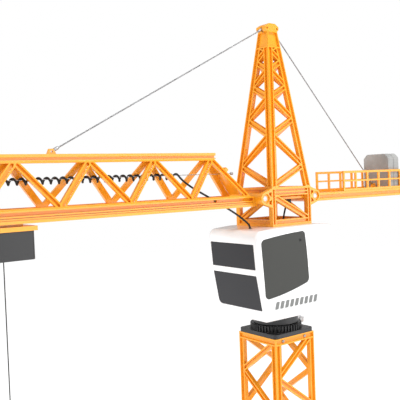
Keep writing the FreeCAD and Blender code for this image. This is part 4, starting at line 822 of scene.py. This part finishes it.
class CRANE_OT_stage(Operator):
    """Pale floor, even studio light, three soft lamps and the camera"""
    bl_idname = "crane.stage"
    bl_label = "Stage"

    def execute(self, context):
        scene = context.scene
        scene.view_settings.view_transform = "Standard"
        scene.world = self.room(AMBIENT)
        self.floor()
        for values in LAMPS:
            self.lamp(*values)
        scene.camera = self.camera()
        return {"FINISHED"}

    def floor(self):
        """Round pale sheet under the crane."""
        rim = ring(9.0, 96)
        spots = np.column_stack([rim, np.full(len(rim), -0.0002)])
        mesh = bpy.data.meshes.new("studio_floor")
        mesh.from_pydata(spots.tolist(), [], [list(range(len(rim)))])
        sheet = Finish("pale_floor")
        cloud = sheet.noise(3.0, 3.0)
        tone = sheet.mixed(cloud, shade(tint("floor"), 0.995), tint("floor"))
        sheet.set(Base_Color=tone, Roughness=0.7 + 0.1 * cloud)
        sheet.set(Emission_Color=(1.0, 1.0, 1.0), Emission_Strength=0.6)
        mesh.materials.append(sheet.material)
        ground = bpy.data.objects.new("studio_floor", mesh)
        bpy.context.scene.collection.objects.link(ground)

    def camera(self):
        """Camera level with the head, looking along EYE_FORWARD."""
        lens = bpy.data.cameras.new("camera")
        lens.sensor_width = 36.0
        lens.lens = LENS
        lens.clip_start = 0.01
        lens.clip_end = 60.0
        camera = bpy.data.objects.new("camera", lens)
        forward = unit(np.array(EYE_FORWARD))
        right = np.array(EYE_RIGHT)
        right = unit(right - forward * right.dot(forward))
        camera.matrix_world = facing(right, forward, EYE)
        bpy.context.scene.collection.objects.link(camera)
        return camera

    def room(self, ambient):
        """White background that lights the crane by a lower ambient level."""
        world = bpy.data.worlds.new("studio")
        world.use_nodes = True
        tree = world.node_tree
        seen = tree.nodes.new("ShaderNodeLightPath")
        level = tree.nodes.new("ShaderNodeMapRange")
        level.inputs["To Min"].default_value = ambient
        level.inputs["To Max"].default_value = 1.0
        tree.links.new(seen.outputs["Is Camera Ray"], level.inputs["Value"])
        backdrop = tree.nodes["Background"]
        backdrop.inputs["Color"].default_value = (1.0, 1.0, 1.0, 1.0)
        tree.links.new(level.outputs["Result"], backdrop.inputs["Strength"])
        return world

    def lamp(self, name, spot, target, wide, tall, power):
        """Rectangular soft light that faces its target."""
        light = bpy.data.lights.new(name, "AREA")
        light.shape = "RECTANGLE"
        light.size = wide
        light.size_y = tall
        light.energy = power
        holder = bpy.data.objects.new(name, light)
        way = unit(np.array(target) - np.array(spot))
        holder.matrix_world = facing(unit(np.cross(way, (0.0, 0.0, 1.0))), way, spot)
        holder.visible_camera = False
        bpy.context.scene.collection.objects.link(holder)


OPERATORS = (
    CRANE_OT_cords, CRANE_OT_hoist_rope, CRANE_OT_stays, CRANE_OT_lattice, CRANE_OT_base, CRANE_OT_slew_gear,
    CRANE_OT_cab, CRANE_OT_counterweights, CRANE_OT_trolley, CRANE_OT_hook, CRANE_OT_stage,
)


class CRANE_PT_pieces(Panel):
    """Sizes, colours and pieces of the crane"""
    bl_idname = "CRANE_PT_pieces"
    bl_label = "Toy tower crane"
    bl_space_type = "VIEW_3D"
    bl_region_type = "UI"
    bl_category = "Crane"

    def draw(self, context):
        for group in (context.scene.crane_sizes, context.scene.crane_colours):
            box = self.layout.box()
            for name in group.__annotations__:
                box.prop(group, name)
        for operator in OPERATORS:
            self.layout.operator(operator.bl_idname)


CLASSES = (CraneSizes, CraneColours, *OPERATORS, CRANE_PT_pieces)


def register():
    for part in CLASSES:
        bpy.utils.register_class(part)
    bpy.types.Scene.crane_sizes = PointerProperty(type=CraneSizes)
    bpy.types.Scene.crane_colours = PointerProperty(type=CraneColours)


def unregister():
    del bpy.types.Scene.crane_sizes
    del bpy.types.Scene.crane_colours
    for part in reversed(CLASSES):
        bpy.utils.unregister_class(part)


def main():
    register()
    make_finishes()
    for operator in OPERATORS:
        group, name = operator.bl_idname.split(".")
        getattr(getattr(bpy.ops, group), name)()


if __name__ == "__main__":
    main()
